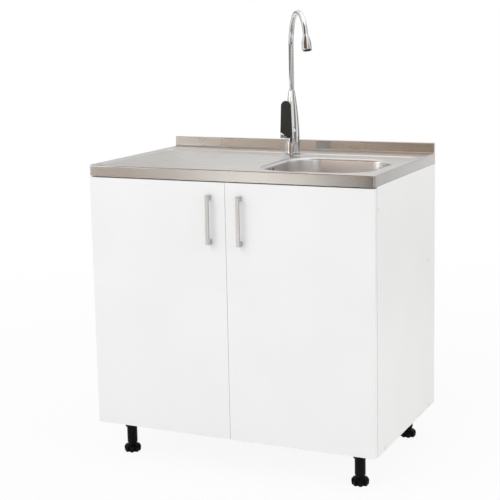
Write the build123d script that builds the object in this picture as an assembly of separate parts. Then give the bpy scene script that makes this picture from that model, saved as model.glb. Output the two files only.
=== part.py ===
"""Kitchen sink unit: floor-standing two-door base cabinet with a steel sink top and a mixer tap.

Millimetres, +Z up, X to the right of someone facing the doors, Y to the rear.
The origin is on the floor, in the middle of the unit's footprint.
"""
from build123d import *
from math import atan2, cos, degrees, dist, radians, sin
import os

# ---------------------------------------------------------------- cabinet
UNIT_WIDTH = 800.0            # over the side panels, and the steel top above them
UNIT_DEPTH = 500.0            # door faces to the rear edges
LEG_HEIGHT = 95.0             # floor to the underside of the cabinet
CARCASS_HEIGHT = 680.0        # height of the side panels
BOARD = 16.0                  # thickness of the cabinet's boards
FRONT_RAIL_HEIGHT = 116.0
REAR_RAIL_HEIGHT = 80.0
REAR_RAIL_DROP = 4.5          # rear rail's top edge below the waste's outlet pipe
REAR_RAIL_INSET = 49.0        # rear rail's back face to the panels' rear edges
BOTTOM_SCREW_INSET = 52.0     # bottom panel's screws to its front and rear edges

# ---------------------------------------------------------------- doors
DOOR_THICK = 16.0
DOOR_STANDOFF = 2.0           # gap between a closed door and the cabinet's front edges
DOOR_GAP = 3.0                # gap between the two doors
DOOR_SIDE_INSET = 1.0         # door's outer edge to the cabinet's side face
DOOR_TOP_GAP = 3.0            # door's top edge to the steel top's lower rim
DOOR_FOOT_INSET = 1.0         # door's lower edge above the cabinet's underside
BUMPER_R = 4.0
BUMPER_INSET = 14.0           # pad's centre to the door's free edge
BUMPER_SEAT_GAP = 0.3

HANDLE_LENGTH = 128.0
HANDLE_WIDTH = 8.5
HANDLE_REACH = 20.0           # door face to the front of the bar
HANDLE_BAR = 6.5              # bar's thickness, front to back
HANDLE_POST = 12.0            # height of each post
HANDLE_INNER_R = 4.0
HANDLE_OUTER_R = 3.0
HANDLE_EDGE_INSET = 41.5      # handle's centre to the door's free edge
HANDLE_TOP_DROP = 32.0        # door's top edge to the handle's top end
HANDLE_SCREW_R = 2.0
HANDLE_SCREW_HEAD_R = 4.0
HANDLE_SCREW_HEAD = 2.0
HANDLE_SCREW_BITE = 9.0       # how far the screw goes into the post

# ---------------------------------------------------------------- concealed hinges
HINGE_FOOT_RISE = 100.0       # lower hinge above the cabinet's underside
HINGE_TOP_DROP = 155.0        # upper hinge below the top of the side panels
CUP_R = 17.5
CUP_WALL = 1.5
CUP_DEPTH = 12.0
CUP_EDGE = 4.5                # door's outer edge to the cup's bore
WING_THICK = 1.0              # plate on the door's back, round the cup
WING_HALF_HEIGHT = 30.0
WING_INNER_MARGIN = 16.0      # how far the plate runs inwards from the cup's centre
WING_SCREW_PITCH = 48.0
CUP_SCREW_R = 1.75
CUP_SCREW_HEAD_R = 3.2
CUP_SCREW_HEAD = 1.0
CUP_SCREW_BITE = 10.0
ARM_PIVOT_IN = 34.0           # fixed pivot inwards from the cabinet's side face
ARM_PIVOT_FORWARD = 6.0       # fixed pivot in front of the door's back face
CUP_PIVOT_IN = 13.0           # moving pivot inwards from the cabinet's side face
CUP_PIVOT_FORWARD = 4.0       # moving pivot in front of the door's back face
HINGE_PIN_R = 1.5
HINGE_PIN_CLEARANCE = 0.05
LINK_EYE_R = 3.0
LINK_HALF_WIDTH = 1.5
LINK_HALF_HEIGHT = 3.9
CHEEK_GAP = 0.3               # link's side to the arm's cheek
CHEEK_THICK = 2.0
ARM_LENGTH = 84.0             # arm's body, front to rear
ARM_HALF_HEIGHT = 8.0
ARM_THICK = 10.0
ARM_START = 8.0               # arm's body behind the door's back face
HINGE_PLATE = 2.5             # mounting plate's thickness on the side panel
HINGE_PLATE_LENGTH = 48.0
HINGE_PLATE_START = 28.0      # plate behind the door's back face
HINGE_PLATE_HALF_HEIGHT = 26.0
HINGE_PLATE_SCREW_PITCH = 36.0
HINGE_PLATE_SCREW_R = 2.5
HINGE_PLATE_SCREW_HEAD_R = 4.0
HINGE_PLATE_SCREW_HEAD = 2.0
HINGE_PLATE_SCREW_BITE = 11.0

# ---------------------------------------------------------------- panel screws and caps
PANEL_SCREW_R = 3.5
PANEL_SCREW_HEAD_R = 5.0
PANEL_SCREW_HEAD = 4.0
PANEL_SCREW_LENGTH = 50.0
CAP_R = 6.5
CAP_THICK = 0.8

# ---------------------------------------------------------------- levelling legs
LEG_SIDE_INSET = 65.0         # leg's axis to the cabinet's side face
LEG_FRONT_INSET = 65.0        # leg's axis behind the door faces
LEG_REAR_INSET = 40.0         # leg's axis to the rear edges
LEG_TUBE_R = 14.0
LEG_TUBE_WALL = 3.0
LEG_SOCKET_FLANGE_R = 30.0
LEG_SOCKET_FLANGE = 4.0
LEG_SOCKET_R = 17.5           # collar at its foot
LEG_SOCKET_TOP_R = 20.5       # collar under the flange
LEG_SOCKET_DEPTH = 24.0
LEG_SOCKET_ROOF = 2.0         # plastic between the tube's end and the cabinet
LEG_SCREW_R = 2.0
LEG_SCREW_HEAD_R = 3.5
LEG_SCREW_HEAD = 1.6
LEG_SCREW_BITE = 11.0
LEG_SCREW_CIRCLE_R = 24.5
LEG_SCREW_TURN = 30.0         # degrees, so that the screws miss those through the side panels
FOOT_PAD_R = 23.0
FOOT_PAD_HEIGHT = 26.0
FOOT_SHOULDER_R = 6.0
FOOT_NECK_R = 15.0
FOOT_NOTCH_COUNT = 12
FOOT_NOTCH_R = 3.0
FOOT_NOTCH_HEIGHT = 10.0
FOOT_STEM_DROP = 25.0         # stem's end below the cabinet's underside
FOOT_STEM_CLEARANCE = 0.08

# ---------------------------------------------------------------- steel sink top
RIM_HEIGHT = 30.0             # skirt of the steel top, down to the cabinet
SHEET = 1.0                   # steel thickness
DECK_CORNER_R = 7.0
DECK_BEND_R = 4.0
UPSTAND_HEIGHT = 28.0
UPSTAND_THICK = 12.0
UPSTAND_BEND_R = 3.0
UPSTAND_COVE_R = 4.0
RECESS_DEPTH = 3.0            # draining area below the raised border
RECESS_LEFT_BORDER = 17.0
RECESS_RIGHT_BORDER = 14.0
RECESS_FRONT_BORDER = 22.0
RECESS_REAR_BORDER = 89.0     # behind the drainer
RECESS_BOWL_BORDER = 106.0    # behind the bowl
RECESS_CORNER_R = 24.0
TAP_NOSE_R = 34.0             # raised seat round the tap's hole
TAP_NOSE_ROUNDING = 0.98      # its corners' radius, of the seat's own
GROOVE_COUNT = 9
GROOVE_PITCH = 36.0
GROOVE_WIDTH = 9.0
GROOVE_DEPTH = 1.5
GROOVE_LEFT_MARGIN = 48.0     # grooves' left ends to the draining area's left line
GROOVE_FRONT_MARGIN = 30.0    # front groove to the draining area's front line
GROOVE_BOWL_MARGIN = 26.0     # grooves' right ends to the bowl's rim
BATTEN_WIDTH = 28.0           # softwood battens inside the steel skirt

# ---------------------------------------------------------------- bowl
BOWL_WIDTH = 298.0            # between the bowl's walls, just under the rim
BOWL_LENGTH = 283.0
BOWL_RIGHT_MARGIN = 45.0      # bowl's right wall to the steel top's right edge
BOWL_FRONT_MARGIN = 50.0      # bowl's front wall to the steel top's front edge
BOWL_DEPTH = 135.0
BOWL_CORNER_R = 78.0
BOWL_RIM_R = 10.0
BOWL_FLANGE = 16.0            # flat flange round the walls, out to the weld
BOWL_FLOOR_R = 32.0
BOWL_DRAFT = 3.0              # degrees
OVERFLOW_HOLE_R = 5.0
OVERFLOW_HOLE_PITCH = 18.0
OVERFLOW_DROP = 22.0          # holes' centres below the draining area
OVERFLOW_FRONT_SHIFT = 28.0   # holes in front of the bowl's middle

# ---------------------------------------------------------------- waste and trap
WASTE_HOLE_R = 45.0
WASTE_FLANGE_R = 56.0
WASTE_FLANGE_THICK = 1.5
WASTE_CUP_R = 42.0
WASTE_CUP_WALL = 1.0
WASTE_CUP_DEPTH = 28.0
WASTE_SCREW_R = 3.0
WASTE_SCREW_HEAD_R = 6.0
WASTE_SCREW_HEAD = 3.0
WASTE_SCREW_LENGTH = 22.0
WASTE_SEAL_THICK = 2.0
WASTE_BODY_WALL = 3.0
WASTE_BODY_GAP = 1.5          # between the steel cup and the plastic body
WASTE_TAIL_R = 20.0
WASTE_TAIL_LENGTH = 26.0
WASTE_BOSS_R = 7.0
WASTE_RIB_COUNT = 3           # ribs that carry the boss in the tail
WASTE_RIB_THICK = 1.5
SLOT_COUNT = 8
SLOT_R = 3.5
SLOT_CIRCLE_R = 24.0
BASKET_R = 38.0
BASKET_WALL = 1.2
BASKET_DEPTH = 18.0
BASKET_LIP_R = 48.0
BASKET_LIFT_GAP = 0.3
BASKET_HOLE_R = 2.5
BASKET_RINGS = ((14.0, 8), (21.0, 12), (28.0, 16))   # circle's radius, holes on it
BASKET_POST_R = 3.0
BASKET_POST_HEIGHT = 24.0
BASKET_KNOB_R = 9.0
BASKET_KNOB_HEIGHT = 4.0
OVERFLOW_TUBE_R = 10.0
OVERFLOW_TUBE_WALL = 2.0
OVERFLOW_TUBE_BEND_R = 30.0
OVERFLOW_BOX_DEPTH = 24.0
OVERFLOW_BOX_WIDTH = 44.0
OVERFLOW_BOX_HEIGHT = 30.0
OVERFLOW_INLET_DROP = 18.0    # tube's centre below the plastic body's top
TRAP_WALL = 3.0
TRAP_NUT_R = 28.0
TRAP_NUT_HEIGHT = 18.0
TRAP_NUT_RIBS = 16
TRAP_NUT_RIB_R = 1.6
TRAP_BODY_R = 35.0
TRAP_BODY_HEIGHT = 62.0
TRAP_CUP_R = 39.0
TRAP_CUP_HEIGHT = 46.0
TRAP_CUP_OVERLAP = 10.0
TRAP_CUP_FLOOR_R = 14.0
TRAP_DIP_R = 17.0
TRAP_DIP_LENGTH = 72.0
TRAP_OUTLET_DROP = 26.0       # outlet's centre below the top of the trap's body
TRAP_COLLAR_R = 25.0
TRAP_COLLAR_LENGTH = 24.0
OUTLET_REACH = 20.0           # plain end of the outlet pipe behind the rear edges
OUTLET_WALL = 2.5
OUTLET_SPIGOT = 44.0          # pipe's plain end behind its stop bead
OUTLET_BEAD_R = 22.5
OUTLET_BEAD_THICK = 4.0

# ---------------------------------------------------------------- tap
TAP_LEFT_OF_BOWL = 27.0       # tap's axis to the left of the bowl's left wall
TAP_REAR_INSET = 128.0        # tap's axis to the rear edge
TAP_HOLE_R = 17.5
TAP_BASE_R = 22.0
TAP_SEAL_THICK = 2.0
TAP_BASE_HEIGHT = 50.0        # straight lower body above the deck
TAP_BODY_HEIGHT = 176.0
TAP_NECK_R = 8.5
TAP_BASE_TAPER = 1.0          # lower body's radius lost over its height
TAP_WAIST = 0.44              # cone's radius half way up, between the neck's and the foot's
INLET_R = 4.5
INLET_DEPTH = 12.0
INLET_PITCH = 15.0
TAP_STUD_R = 3.0
TAP_STUD_LENGTH = 58.0
TAP_STUD_BITE = 14.0
TAP_STUD_OFFSET = 9.0
TAP_CLAMP_R = 26.0
TAP_CLAMP_THICK = 3.0
TAP_CLAMP_SLOT = 13.0         # half the slot's width
TAP_CLAMP_SLOT_REACH = 3.0    # slot's end behind the tap's axis
TAP_NUT_R = 6.5
TAP_NUT_HEIGHT = 8.0
VALVE_HEIGHT = 66.0           # valve's axis above the deck
VALVE_HOUSING_R = 16.0
VALVE_HOUSING_REACH = 29.0    # housing's face in front of the tap's axis
VALVE_R = 12.5
VALVE_DEPTH = 24.0
VALVE_FIT = 0.1
VALVE_RING = 3.0
VALVE_RING_BORE_R = 9.6
STEM_R = 9.5
STEM_REACH = 3.0              # turning stem out of the housing's face
STEM_FORK_GAP = 0.3
LEVER_NECK_WIDTH = 9.0
LEVER_PIN_R = 2.0
LEVER_PIN_CLEARANCE = 0.05
LEVER_EYE_R = 4.0             # lever's neck round its pin
LEVER_THICK = 8.0
LEVER_TOP = 151.0             # above the deck
LEVER_FOOT = 48.0
LEVER_FOOT_WIDTH = 34.0
LEVER_TOP_WIDTH = 28.0
LEVER_CLEARANCE = 3.0         # lever's back to the turning stem's face
INSERT_THICK = 2.5
INSERT_MARGIN = 1.2
SPOUT_R = 7.0
SPOUT_WALL = 1.2
SPOUT_RING_HEIGHT = 3.0
SPOUT_RING_INSET = 0.5        # glide ring's edge inside the body's
SPOUT_STEM_LENGTH = 16.0      # depth of the stem's bore in the body
SPOUT_STEM_GAP = 1.0          # stem's end to the bore's floor
SPOUT_FIT = 0.06
SPOUT_ARCH_BASE = 300.0       # above the deck: where the straight riser ends
SPOUT_ARCH_R = 88.0
SPOUT_ARCH_SWEEP = 160.0      # degrees
SPOUT_TURN = 36.0             # degrees to the right of straight ahead
NOZZLE_R = 13.0
NOZZLE_CONE = 24.0
NOZZLE_LENGTH = 43.0
AERATOR_R = 10.0
AERATOR_DEPTH = 8.0
AERATOR_HOLE_R = 1.0
AERATOR_RINGS = ((3.8, 6), (7.0, 12))   # circle's radius, holes on it

# ---------------------------------------------------------------- places that follow
HALF_W = UNIT_WIDTH / 2
FRONT_Y = -UNIT_DEPTH / 2
REAR_Y = UNIT_DEPTH / 2
CARCASS_TOP = LEG_HEIGHT + CARCASS_HEIGHT
DOOR_BACK_Y = FRONT_Y + DOOR_THICK
CARCASS_FRONT_Y = DOOR_BACK_Y + DOOR_STANDOFF
PANEL_INNER_X = HALF_W - BOARD
DECK_Z = CARCASS_TOP + RIM_HEIGHT
RECESS_Z = DECK_Z - RECESS_DEPTH
DOOR_BOTTOM_Z = LEG_HEIGHT + DOOR_FOOT_INSET
DOOR_TOP_Z = CARCASS_TOP - DOOR_TOP_GAP
HANDLE_TOP_Z = DOOR_TOP_Z - HANDLE_TOP_DROP
HINGE_ZS = (LEG_HEIGHT + HINGE_FOOT_RISE, CARCASS_TOP - HINGE_TOP_DROP)
FRONT_RAIL_Z = CARCASS_TOP - FRONT_RAIL_HEIGHT / 2
REAR_RAIL_Y = REAR_Y - REAR_RAIL_INSET - BOARD / 2
BOWL_X = HALF_W - BOWL_RIGHT_MARGIN - BOWL_WIDTH / 2
BOWL_Y = FRONT_Y + BOWL_FRONT_MARGIN + BOWL_LENGTH / 2
BOWL_LEFT_X = BOWL_X - BOWL_WIDTH / 2
BOWL_FLOOR_Z = RECESS_Z - BOWL_DEPTH
TAP_X = BOWL_LEFT_X - TAP_LEFT_OF_BOWL
TAP_Y = REAR_Y - TAP_REAR_INSET
WASTE_BODY_TOP_Z = BOWL_FLOOR_Z - SHEET - WASTE_SEAL_THICK
WASTE_CUP_FLOOR_Z = BOWL_FLOOR_Z - WASTE_CUP_DEPTH
WASTE_BODY_FLOOR_Z = WASTE_CUP_FLOOR_Z - WASTE_BODY_GAP
TAIL_END_Z = WASTE_BODY_FLOOR_Z - WASTE_BODY_WALL - WASTE_TAIL_LENGTH
TRAP_TOP_Z = TAIL_END_Z
TRAP_OUTLET_Z = TRAP_TOP_Z - TRAP_OUTLET_DROP
REAR_RAIL_Z = TRAP_OUTLET_Z - WASTE_TAIL_R - REAR_RAIL_DROP - REAR_RAIL_HEIGHT / 2
LEG_PLACES = {
    "front_left": (-HALF_W + LEG_SIDE_INSET, FRONT_Y + LEG_FRONT_INSET),
    "front_right": (HALF_W - LEG_SIDE_INSET, FRONT_Y + LEG_FRONT_INSET),
    "rear_left": (-HALF_W + LEG_SIDE_INSET, REAR_Y - LEG_REAR_INSET),
    "rear_right": (HALF_W - LEG_SIDE_INSET, REAR_Y - LEG_REAR_INSET),
}


# ---------------------------------------------------------------- shape helpers
def block(x0, x1, y0, y1, z0, z1):
    """Box between two corners."""
    centre = Pos((x0 + x1) / 2, (y0 + y1) / 2, (z0 + z1) / 2)
    return centre * Box(abs(x1 - x0), abs(y1 - y0), abs(z1 - z0))


def rod_z(radius, z0, z1, x=0.0, y=0.0):
    """Upright cylinder."""
    return Pos(x, y, (z0 + z1) / 2) * Cylinder(radius, abs(z1 - z0))


def rod_x(radius, x0, x1, y, z):
    """Cylinder along X."""
    return Pos((x0 + x1) / 2, y, z) * Rot(0, 90, 0) * Cylinder(radius, abs(x1 - x0))


def rod_y(radius, y0, y1, x, z):
    """Cylinder along Y."""
    return Pos(x, (y0 + y1) / 2, z) * Rot(90, 0, 0) * Cylinder(radius, abs(y1 - y0))


def prism(sketch, z0, z1):
    """Sketch on the XY plane pulled up from z0 to z1."""
    return Pos(0, 0, z0) * extrude(sketch, z1 - z0)


def turned(points, x=0.0, y=0.0, z=0.0):
    """Solid of revolution about an upright axis, from (radius, height) points."""
    outline = make_face(Plane.XZ * Polyline(*points, close=True))
    return Pos(x, y, z) * revolve(outline, Axis.Z)


def ring_of(count, radius):
    """Evenly spaced places on a circle."""
    return [(radius * cos(radians(360 * i / count)), radius * sin(radians(360 * i / count)))
            for i in range(count)]


def group(solids):
    """Several separate solids under one name."""
    return Compound(children=[solid for shape in solids for solid in shape.solids()])


def mirrored(shape):
    """The same shape on the unit's other side."""
    return mirror(shape, about=Plane.YZ)


# ---------------------------------------------------------------- carcass
def panel_screw_places():
    """(y, z) of the screws through each side panel."""
    bottom_z = LEG_HEIGHT + BOARD / 2
    return [
        (CARCASS_FRONT_Y + BOARD / 2, FRONT_RAIL_Z),
        (REAR_RAIL_Y, REAR_RAIL_Z),
        (CARCASS_FRONT_Y + BOTTOM_SCREW_INSET, bottom_z),
        (REAR_Y - BOTTOM_SCREW_INSET, bottom_z),
    ]


def panel_screw(y, z):
    """Screw through the right side panel, its head level with the outer face."""
    head = rod_x(PANEL_SCREW_HEAD_R, HALF_W - PANEL_SCREW_HEAD, HALF_W, y, z)
    return head + rod_x(PANEL_SCREW_R, HALF_W - PANEL_SCREW_LENGTH, HALF_W, y, z)


def hinge_plate_screw_places():
    """(y, z) of the screws that hold the hinge plates to a side panel."""
    y = DOOR_BACK_Y + HINGE_PLATE_START + HINGE_PLATE_LENGTH / 2
    return [(y, z + side * HINGE_PLATE_SCREW_PITCH / 2) for z in HINGE_ZS for side in (-1, 1)]


def hinge_plate_screw(y, z):
    """Screw through a hinge plate into the right side panel."""
    face = PANEL_INNER_X - HINGE_PLATE
    head = rod_x(HINGE_PLATE_SCREW_HEAD_R, face - HINGE_PLATE_SCREW_HEAD, face, y, z)
    return head + rod_x(HINGE_PLATE_SCREW_R, face, PANEL_INNER_X + HINGE_PLATE_SCREW_BITE, y, z)


def side_panel():
    """Right side panel with its screw holes."""
    panel = block(PANEL_INNER_X, HALF_W, CARCASS_FRONT_Y, REAR_Y, LEG_HEIGHT, CARCASS_TOP)
    for y, z in panel_screw_places():
        panel -= panel_screw(y, z)
    for y, z in hinge_plate_screw_places():
        panel -= hinge_plate_screw(y, z)
    return panel


def with_screw_holes(board):
    """Board between the side panels, bored for the panel screws at both ends."""
    for y, z in panel_screw_places():
        screw = panel_screw(y, z)
        board = board - screw - mirrored(screw)
    return board


def leg_screw_places(x, y):
    """(x, y) of the screws round one leg's socket."""
    outwards = 1 if x > 0 else -1
    places = []
    for corner in range(4):
        turn = radians(LEG_SCREW_TURN + 90 * corner)
        places.append((x + outwards * LEG_SCREW_CIRCLE_R * cos(turn), y + LEG_SCREW_CIRCLE_R * sin(turn)))
    return places


def leg_screw(x, y):
    """Screw up through a socket's flange into the bottom panel."""
    flange_z = LEG_HEIGHT - LEG_SOCKET_FLANGE
    head = rod_z(LEG_SCREW_HEAD_R, flange_z - LEG_SCREW_HEAD, flange_z, x, y)
    return head + rod_z(LEG_SCREW_R, flange_z, LEG_HEIGHT + LEG_SCREW_BITE, x, y)


def all_leg_screws():
    """Every leg screw."""
    return [leg_screw(*place) for leg in LEG_PLACES.values() for place in leg_screw_places(*leg)]


def bottom_panel():
    """Bottom panel, from the front edges to the rear edges."""
    panel = block(-PANEL_INNER_X, PANEL_INNER_X, CARCASS_FRONT_Y, REAR_Y, LEG_HEIGHT, LEG_HEIGHT + BOARD)
    for screw in all_leg_screws():
        panel -= screw
    return with_screw_holes(panel)


def front_rail():
    """Upright rail under the steel top, behind the doors."""
    rail = block(-PANEL_INNER_X, PANEL_INNER_X, CARCASS_FRONT_Y, CARCASS_FRONT_Y + BOARD,
                 CARCASS_TOP - FRONT_RAIL_HEIGHT, CARCASS_TOP)
    return with_screw_holes(rail)


def rear_rail():
    """Upright rail half way up at the back, clear of the plumbing."""
    rail = block(-PANEL_INNER_X, PANEL_INNER_X, REAR_RAIL_Y - BOARD / 2, REAR_RAIL_Y + BOARD / 2,
                 REAR_RAIL_Z - REAR_RAIL_HEIGHT / 2, REAR_RAIL_Z + REAR_RAIL_HEIGHT / 2)
    return with_screw_holes(rail)


def panel_screws():
    """Both sides' panel screws."""
    right = [panel_screw(y, z) for y, z in panel_screw_places()]
    return group(right + [mirrored(screw) for screw in right])


def screw_caps():
    """Flat caps stuck over the panel screws' heads."""
    right = [rod_x(CAP_R, HALF_W, HALF_W + CAP_THICK, y, z) for y, z in panel_screw_places()]
    return group(right + [mirrored(cap) for cap in right])


# ---------------------------------------------------------------- legs
def leg_socket(x, y):
    """Socket screwed under the cabinet, with a conical collar."""
    top = LEG_HEIGHT
    cone_top = top - LEG_SOCKET_FLANGE
    cone_foot = top - LEG_SOCKET_DEPTH
    points = [(0, top), (LEG_SOCKET_FLANGE_R, top), (LEG_SOCKET_FLANGE_R, cone_top),
              (LEG_SOCKET_TOP_R, cone_top), (LEG_SOCKET_R, cone_foot), (0, cone_foot)]
    socket = turned(points, x, y)
    socket -= rod_z(LEG_TUBE_R, cone_foot, top - LEG_SOCKET_ROOF, x, y)
    for place in leg_screw_places(x, y):
        socket -= leg_screw(*place)
    return socket


def leg_tube(x, y):
    """Tube of a leg, plugged into its socket and open at the foot."""
    top = LEG_HEIGHT - LEG_SOCKET_ROOF
    outer = rod_z(LEG_TUBE_R, FOOT_PAD_HEIGHT, top, x, y)
    return outer - rod_z(LEG_TUBE_R - LEG_TUBE_WALL, FOOT_PAD_HEIGHT, top - LEG_TUBE_WALL, x, y)


def leg_foot(x, y):
    """Screw foot: a notched pad and the stem that runs in the tube."""
    stem_r = LEG_TUBE_R - LEG_TUBE_WALL - FOOT_STEM_CLEARANCE
    pad = rod_z(FOOT_PAD_R, 0, FOOT_PAD_HEIGHT - FOOT_SHOULDER_R, x, y)
    shoulder = turned([(0, 0), (FOOT_PAD_R, 0), (FOOT_NECK_R, FOOT_SHOULDER_R), (0, FOOT_SHOULDER_R)],
                      x, y, FOOT_PAD_HEIGHT - FOOT_SHOULDER_R)
    foot = pad + shoulder
    for dx, dy in ring_of(FOOT_NOTCH_COUNT, FOOT_PAD_R + FOOT_NOTCH_R / 2):
        foot -= rod_z(FOOT_NOTCH_R, 0, FOOT_NOTCH_HEIGHT, x + dx, y + dy)
    return foot + rod_z(stem_r, FOOT_PAD_HEIGHT, LEG_HEIGHT - FOOT_STEM_DROP, x, y)


# ---------------------------------------------------------------- right door and its fittings
def handle_centre_x():
    """Right handle's centre line."""
    return DOOR_GAP / 2 + HANDLE_EDGE_INSET


def handle_screw_heights():
    """Heights of the two screws of a handle."""
    return (HANDLE_TOP_Z - HANDLE_POST / 2, HANDLE_TOP_Z - HANDLE_LENGTH + HANDLE_POST / 2)


def handle_screw(z):
    """Screw through the door into a post, its head sunk in the door's back."""
    x = handle_centre_x()
    head = rod_y(HANDLE_SCREW_HEAD_R, DOOR_BACK_Y - HANDLE_SCREW_HEAD, DOOR_BACK_Y, x, z)
    return head + rod_y(HANDLE_SCREW_R, FRONT_Y - HANDLE_SCREW_BITE, DOOR_BACK_Y, x, z)


def cup_centre_x():
    """Centre line of the right hinge cups."""
    return HALF_W - DOOR_SIDE_INSET - CUP_EDGE - CUP_R


def cup_screw_places():
    """(x, z) of the screws in the hinge cups' wings."""
    x = cup_centre_x() - CUP_R / 2
    return [(x, z + side * WING_SCREW_PITCH / 2) for z in HINGE_ZS for side in (-1, 1)]


def cup_screw(x, z):
    """Screw through a cup's wing into the door."""
    face = DOOR_BACK_Y + WING_THICK
    head = rod_y(CUP_SCREW_HEAD_R, face, face + CUP_SCREW_HEAD, x, z)
    return head + rod_y(CUP_SCREW_R, DOOR_BACK_Y - CUP_SCREW_BITE, face, x, z)


def door():
    """Right door: a flat board bored for its hinges and handle."""
    board = block(DOOR_GAP / 2, HALF_W - DOOR_SIDE_INSET, FRONT_Y, DOOR_BACK_Y, DOOR_BOTTOM_Z, DOOR_TOP_Z)
    for z in HINGE_ZS:
        board -= rod_y(CUP_R, DOOR_BACK_Y - CUP_DEPTH, DOOR_BACK_Y, cup_centre_x(), z)
    for z in handle_screw_heights():
        board -= handle_screw(z)
    for x, z in cup_screw_places():
        board -= cup_screw(x, z)
    return board


def handle():
    """Flat-bar bow handle of the right door."""
    x = handle_centre_x()
    x0 = x - HANDLE_WIDTH / 2
    x1 = x + HANDLE_WIDTH / 2
    z0 = HANDLE_TOP_Z - HANDLE_LENGTH
    bow = block(x0, x1, FRONT_Y - HANDLE_REACH, FRONT_Y, z0, HANDLE_TOP_Z)
    front_edges = bow.edges().filter_by(Axis.X).group_by(Axis.Y)[0]
    bow = fillet(front_edges, HANDLE_OUTER_R)
    gap = block(x0, x1, FRONT_Y - HANDLE_REACH + HANDLE_BAR, FRONT_Y,
                z0 + HANDLE_POST, HANDLE_TOP_Z - HANDLE_POST)
    gap = fillet(gap.edges().filter_by(Axis.X).group_by(Axis.Y)[0], HANDLE_INNER_R)
    bow -= gap
    for z in handle_screw_heights():
        bow -= handle_screw(z)
    return bow


def door_screws():
    """Handle screws and hinge-cup screws of the right door."""
    return group([handle_screw(z) for z in handle_screw_heights()]
                 + [cup_screw(x, z) for x, z in cup_screw_places()])


def door_bumpers():
    """Soft pads near the free edge, on the door's back."""
    x = DOOR_GAP / 2 + BUMPER_INSET
    thick = DOOR_STANDOFF - BUMPER_SEAT_GAP
    heights = (LEG_HEIGHT + BOARD / 2, CARCASS_TOP - BOARD)
    return group([rod_y(BUMPER_R, DOOR_BACK_Y, DOOR_BACK_Y + thick, x, z) for z in heights])


def hinge_cup(z):
    """Cup and wing plate of one right hinge, with the moving pivot's pin."""
    x = cup_centre_x()
    pin_x = HALF_W - CUP_PIVOT_IN
    pin_y = DOOR_BACK_Y - CUP_PIVOT_FORWARD
    wing = block(x - WING_INNER_MARGIN, PANEL_INNER_X - WING_THICK, DOOR_BACK_Y, DOOR_BACK_Y + WING_THICK,
                 z - WING_HALF_HEIGHT, z + WING_HALF_HEIGHT)
    cup = rod_y(CUP_R, DOOR_BACK_Y - CUP_DEPTH, DOOR_BACK_Y, x, z) + wing
    cup -= rod_y(CUP_R - CUP_WALL, DOOR_BACK_Y - CUP_DEPTH + CUP_WALL, DOOR_BACK_Y + WING_THICK, x, z)
    pin = rod_z(HINGE_PIN_R, z - CUP_R, z + CUP_R, pin_x, pin_y)
    cup += pin & rod_y(CUP_R - CUP_WALL / 2, DOOR_BACK_Y - CUP_DEPTH, DOOR_BACK_Y, x, z)
    for screw_x, screw_z in cup_screw_places():
        cup -= cup_screw(screw_x, screw_z)
    return cup


def hinge_cups():
    """Both cups of the right door."""
    return group([hinge_cup(z) for z in HINGE_ZS])


def arm_pivot():
    """(x, y) of the right hinges' fixed pivot."""
    return HALF_W - ARM_PIVOT_IN, DOOR_BACK_Y - ARM_PIVOT_FORWARD


def cup_pivot():
    """(x, y) of the right hinges' moving pivot."""
    return HALF_W - CUP_PIVOT_IN, DOOR_BACK_Y - CUP_PIVOT_FORWARD


def hinge_link(z):
    """Link of one right hinge, from the fixed pivot to the moving one."""
    (ax, ay), (cx, cy) = arm_pivot(), cup_pivot()
    bar = Pos((ax + cx) / 2, (ay + cy) / 2) * Rot(0, 0, degrees(atan2(cy - ay, cx - ax)))
    plan = bar * Rectangle(dist((ax, ay), (cx, cy)), 2 * LINK_HALF_WIDTH)
    plan += Pos(ax, ay) * Circle(LINK_EYE_R) + Pos(cx, cy) * Circle(LINK_EYE_R)
    link = prism(plan, z - LINK_HALF_HEIGHT, z + LINK_HALF_HEIGHT)
    for x, y in (arm_pivot(), cup_pivot()):
        link -= rod_z(HINGE_PIN_R + HINGE_PIN_CLEARANCE, z - LINK_HALF_HEIGHT, z + LINK_HALF_HEIGHT, x, y)
    return link


def hinge_links():
    """Both links of the right door."""
    return group([hinge_link(z) for z in HINGE_ZS])


def arm_body_x():
    """Inner and outer X of the right hinge arms' bodies."""
    outer = PANEL_INNER_X - HINGE_PLATE
    return outer - ARM_THICK, outer


def hinge_arm(z):
    """Arm of one right hinge: two cheeks round the fixed pivot and a body on the plate."""
    px, py = arm_pivot()
    x0, x1 = arm_body_x()
    start = DOOR_BACK_Y + ARM_START
    inner = LINK_HALF_HEIGHT + CHEEK_GAP
    outer = inner + CHEEK_THICK
    body = block(x0, x1, start, start + ARM_LENGTH, z - ARM_HALF_HEIGHT, z + ARM_HALF_HEIGHT)
    foot = Polyline((px - LINK_EYE_R, py), (px + LINK_EYE_R, py), (x1, start), (px - LINK_EYE_R, start),
                    close=True)
    cheek = Sketch([make_face(foot), Pos(px, py) * Circle(LINK_EYE_R)])
    neck = block(px - LINK_EYE_R, x1, start, start + CHEEK_THICK, z - outer, z + outer)
    arm = body + neck
    for low, high in ((z - outer, z - inner), (z + inner, z + outer)):
        for face in cheek.faces():
            arm += prism(Sketch([face]), low, high)
    return arm + rod_z(HINGE_PIN_R, z - outer, z + outer, px, py)


def hinge_arms():
    """Both arms of the right door."""
    return group([hinge_arm(z) for z in HINGE_ZS])


def hinge_plates():
    """Mounting plates of the right door's hinges."""
    start = DOOR_BACK_Y + HINGE_PLATE_START
    plates = [block(PANEL_INNER_X - HINGE_PLATE, PANEL_INNER_X, start, start + HINGE_PLATE_LENGTH,
                    z - HINGE_PLATE_HALF_HEIGHT, z + HINGE_PLATE_HALF_HEIGHT) for z in HINGE_ZS]
    for y, z in hinge_plate_screw_places():
        plates = [plate - hinge_plate_screw(y, z) for plate in plates]
    return group(plates)


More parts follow.
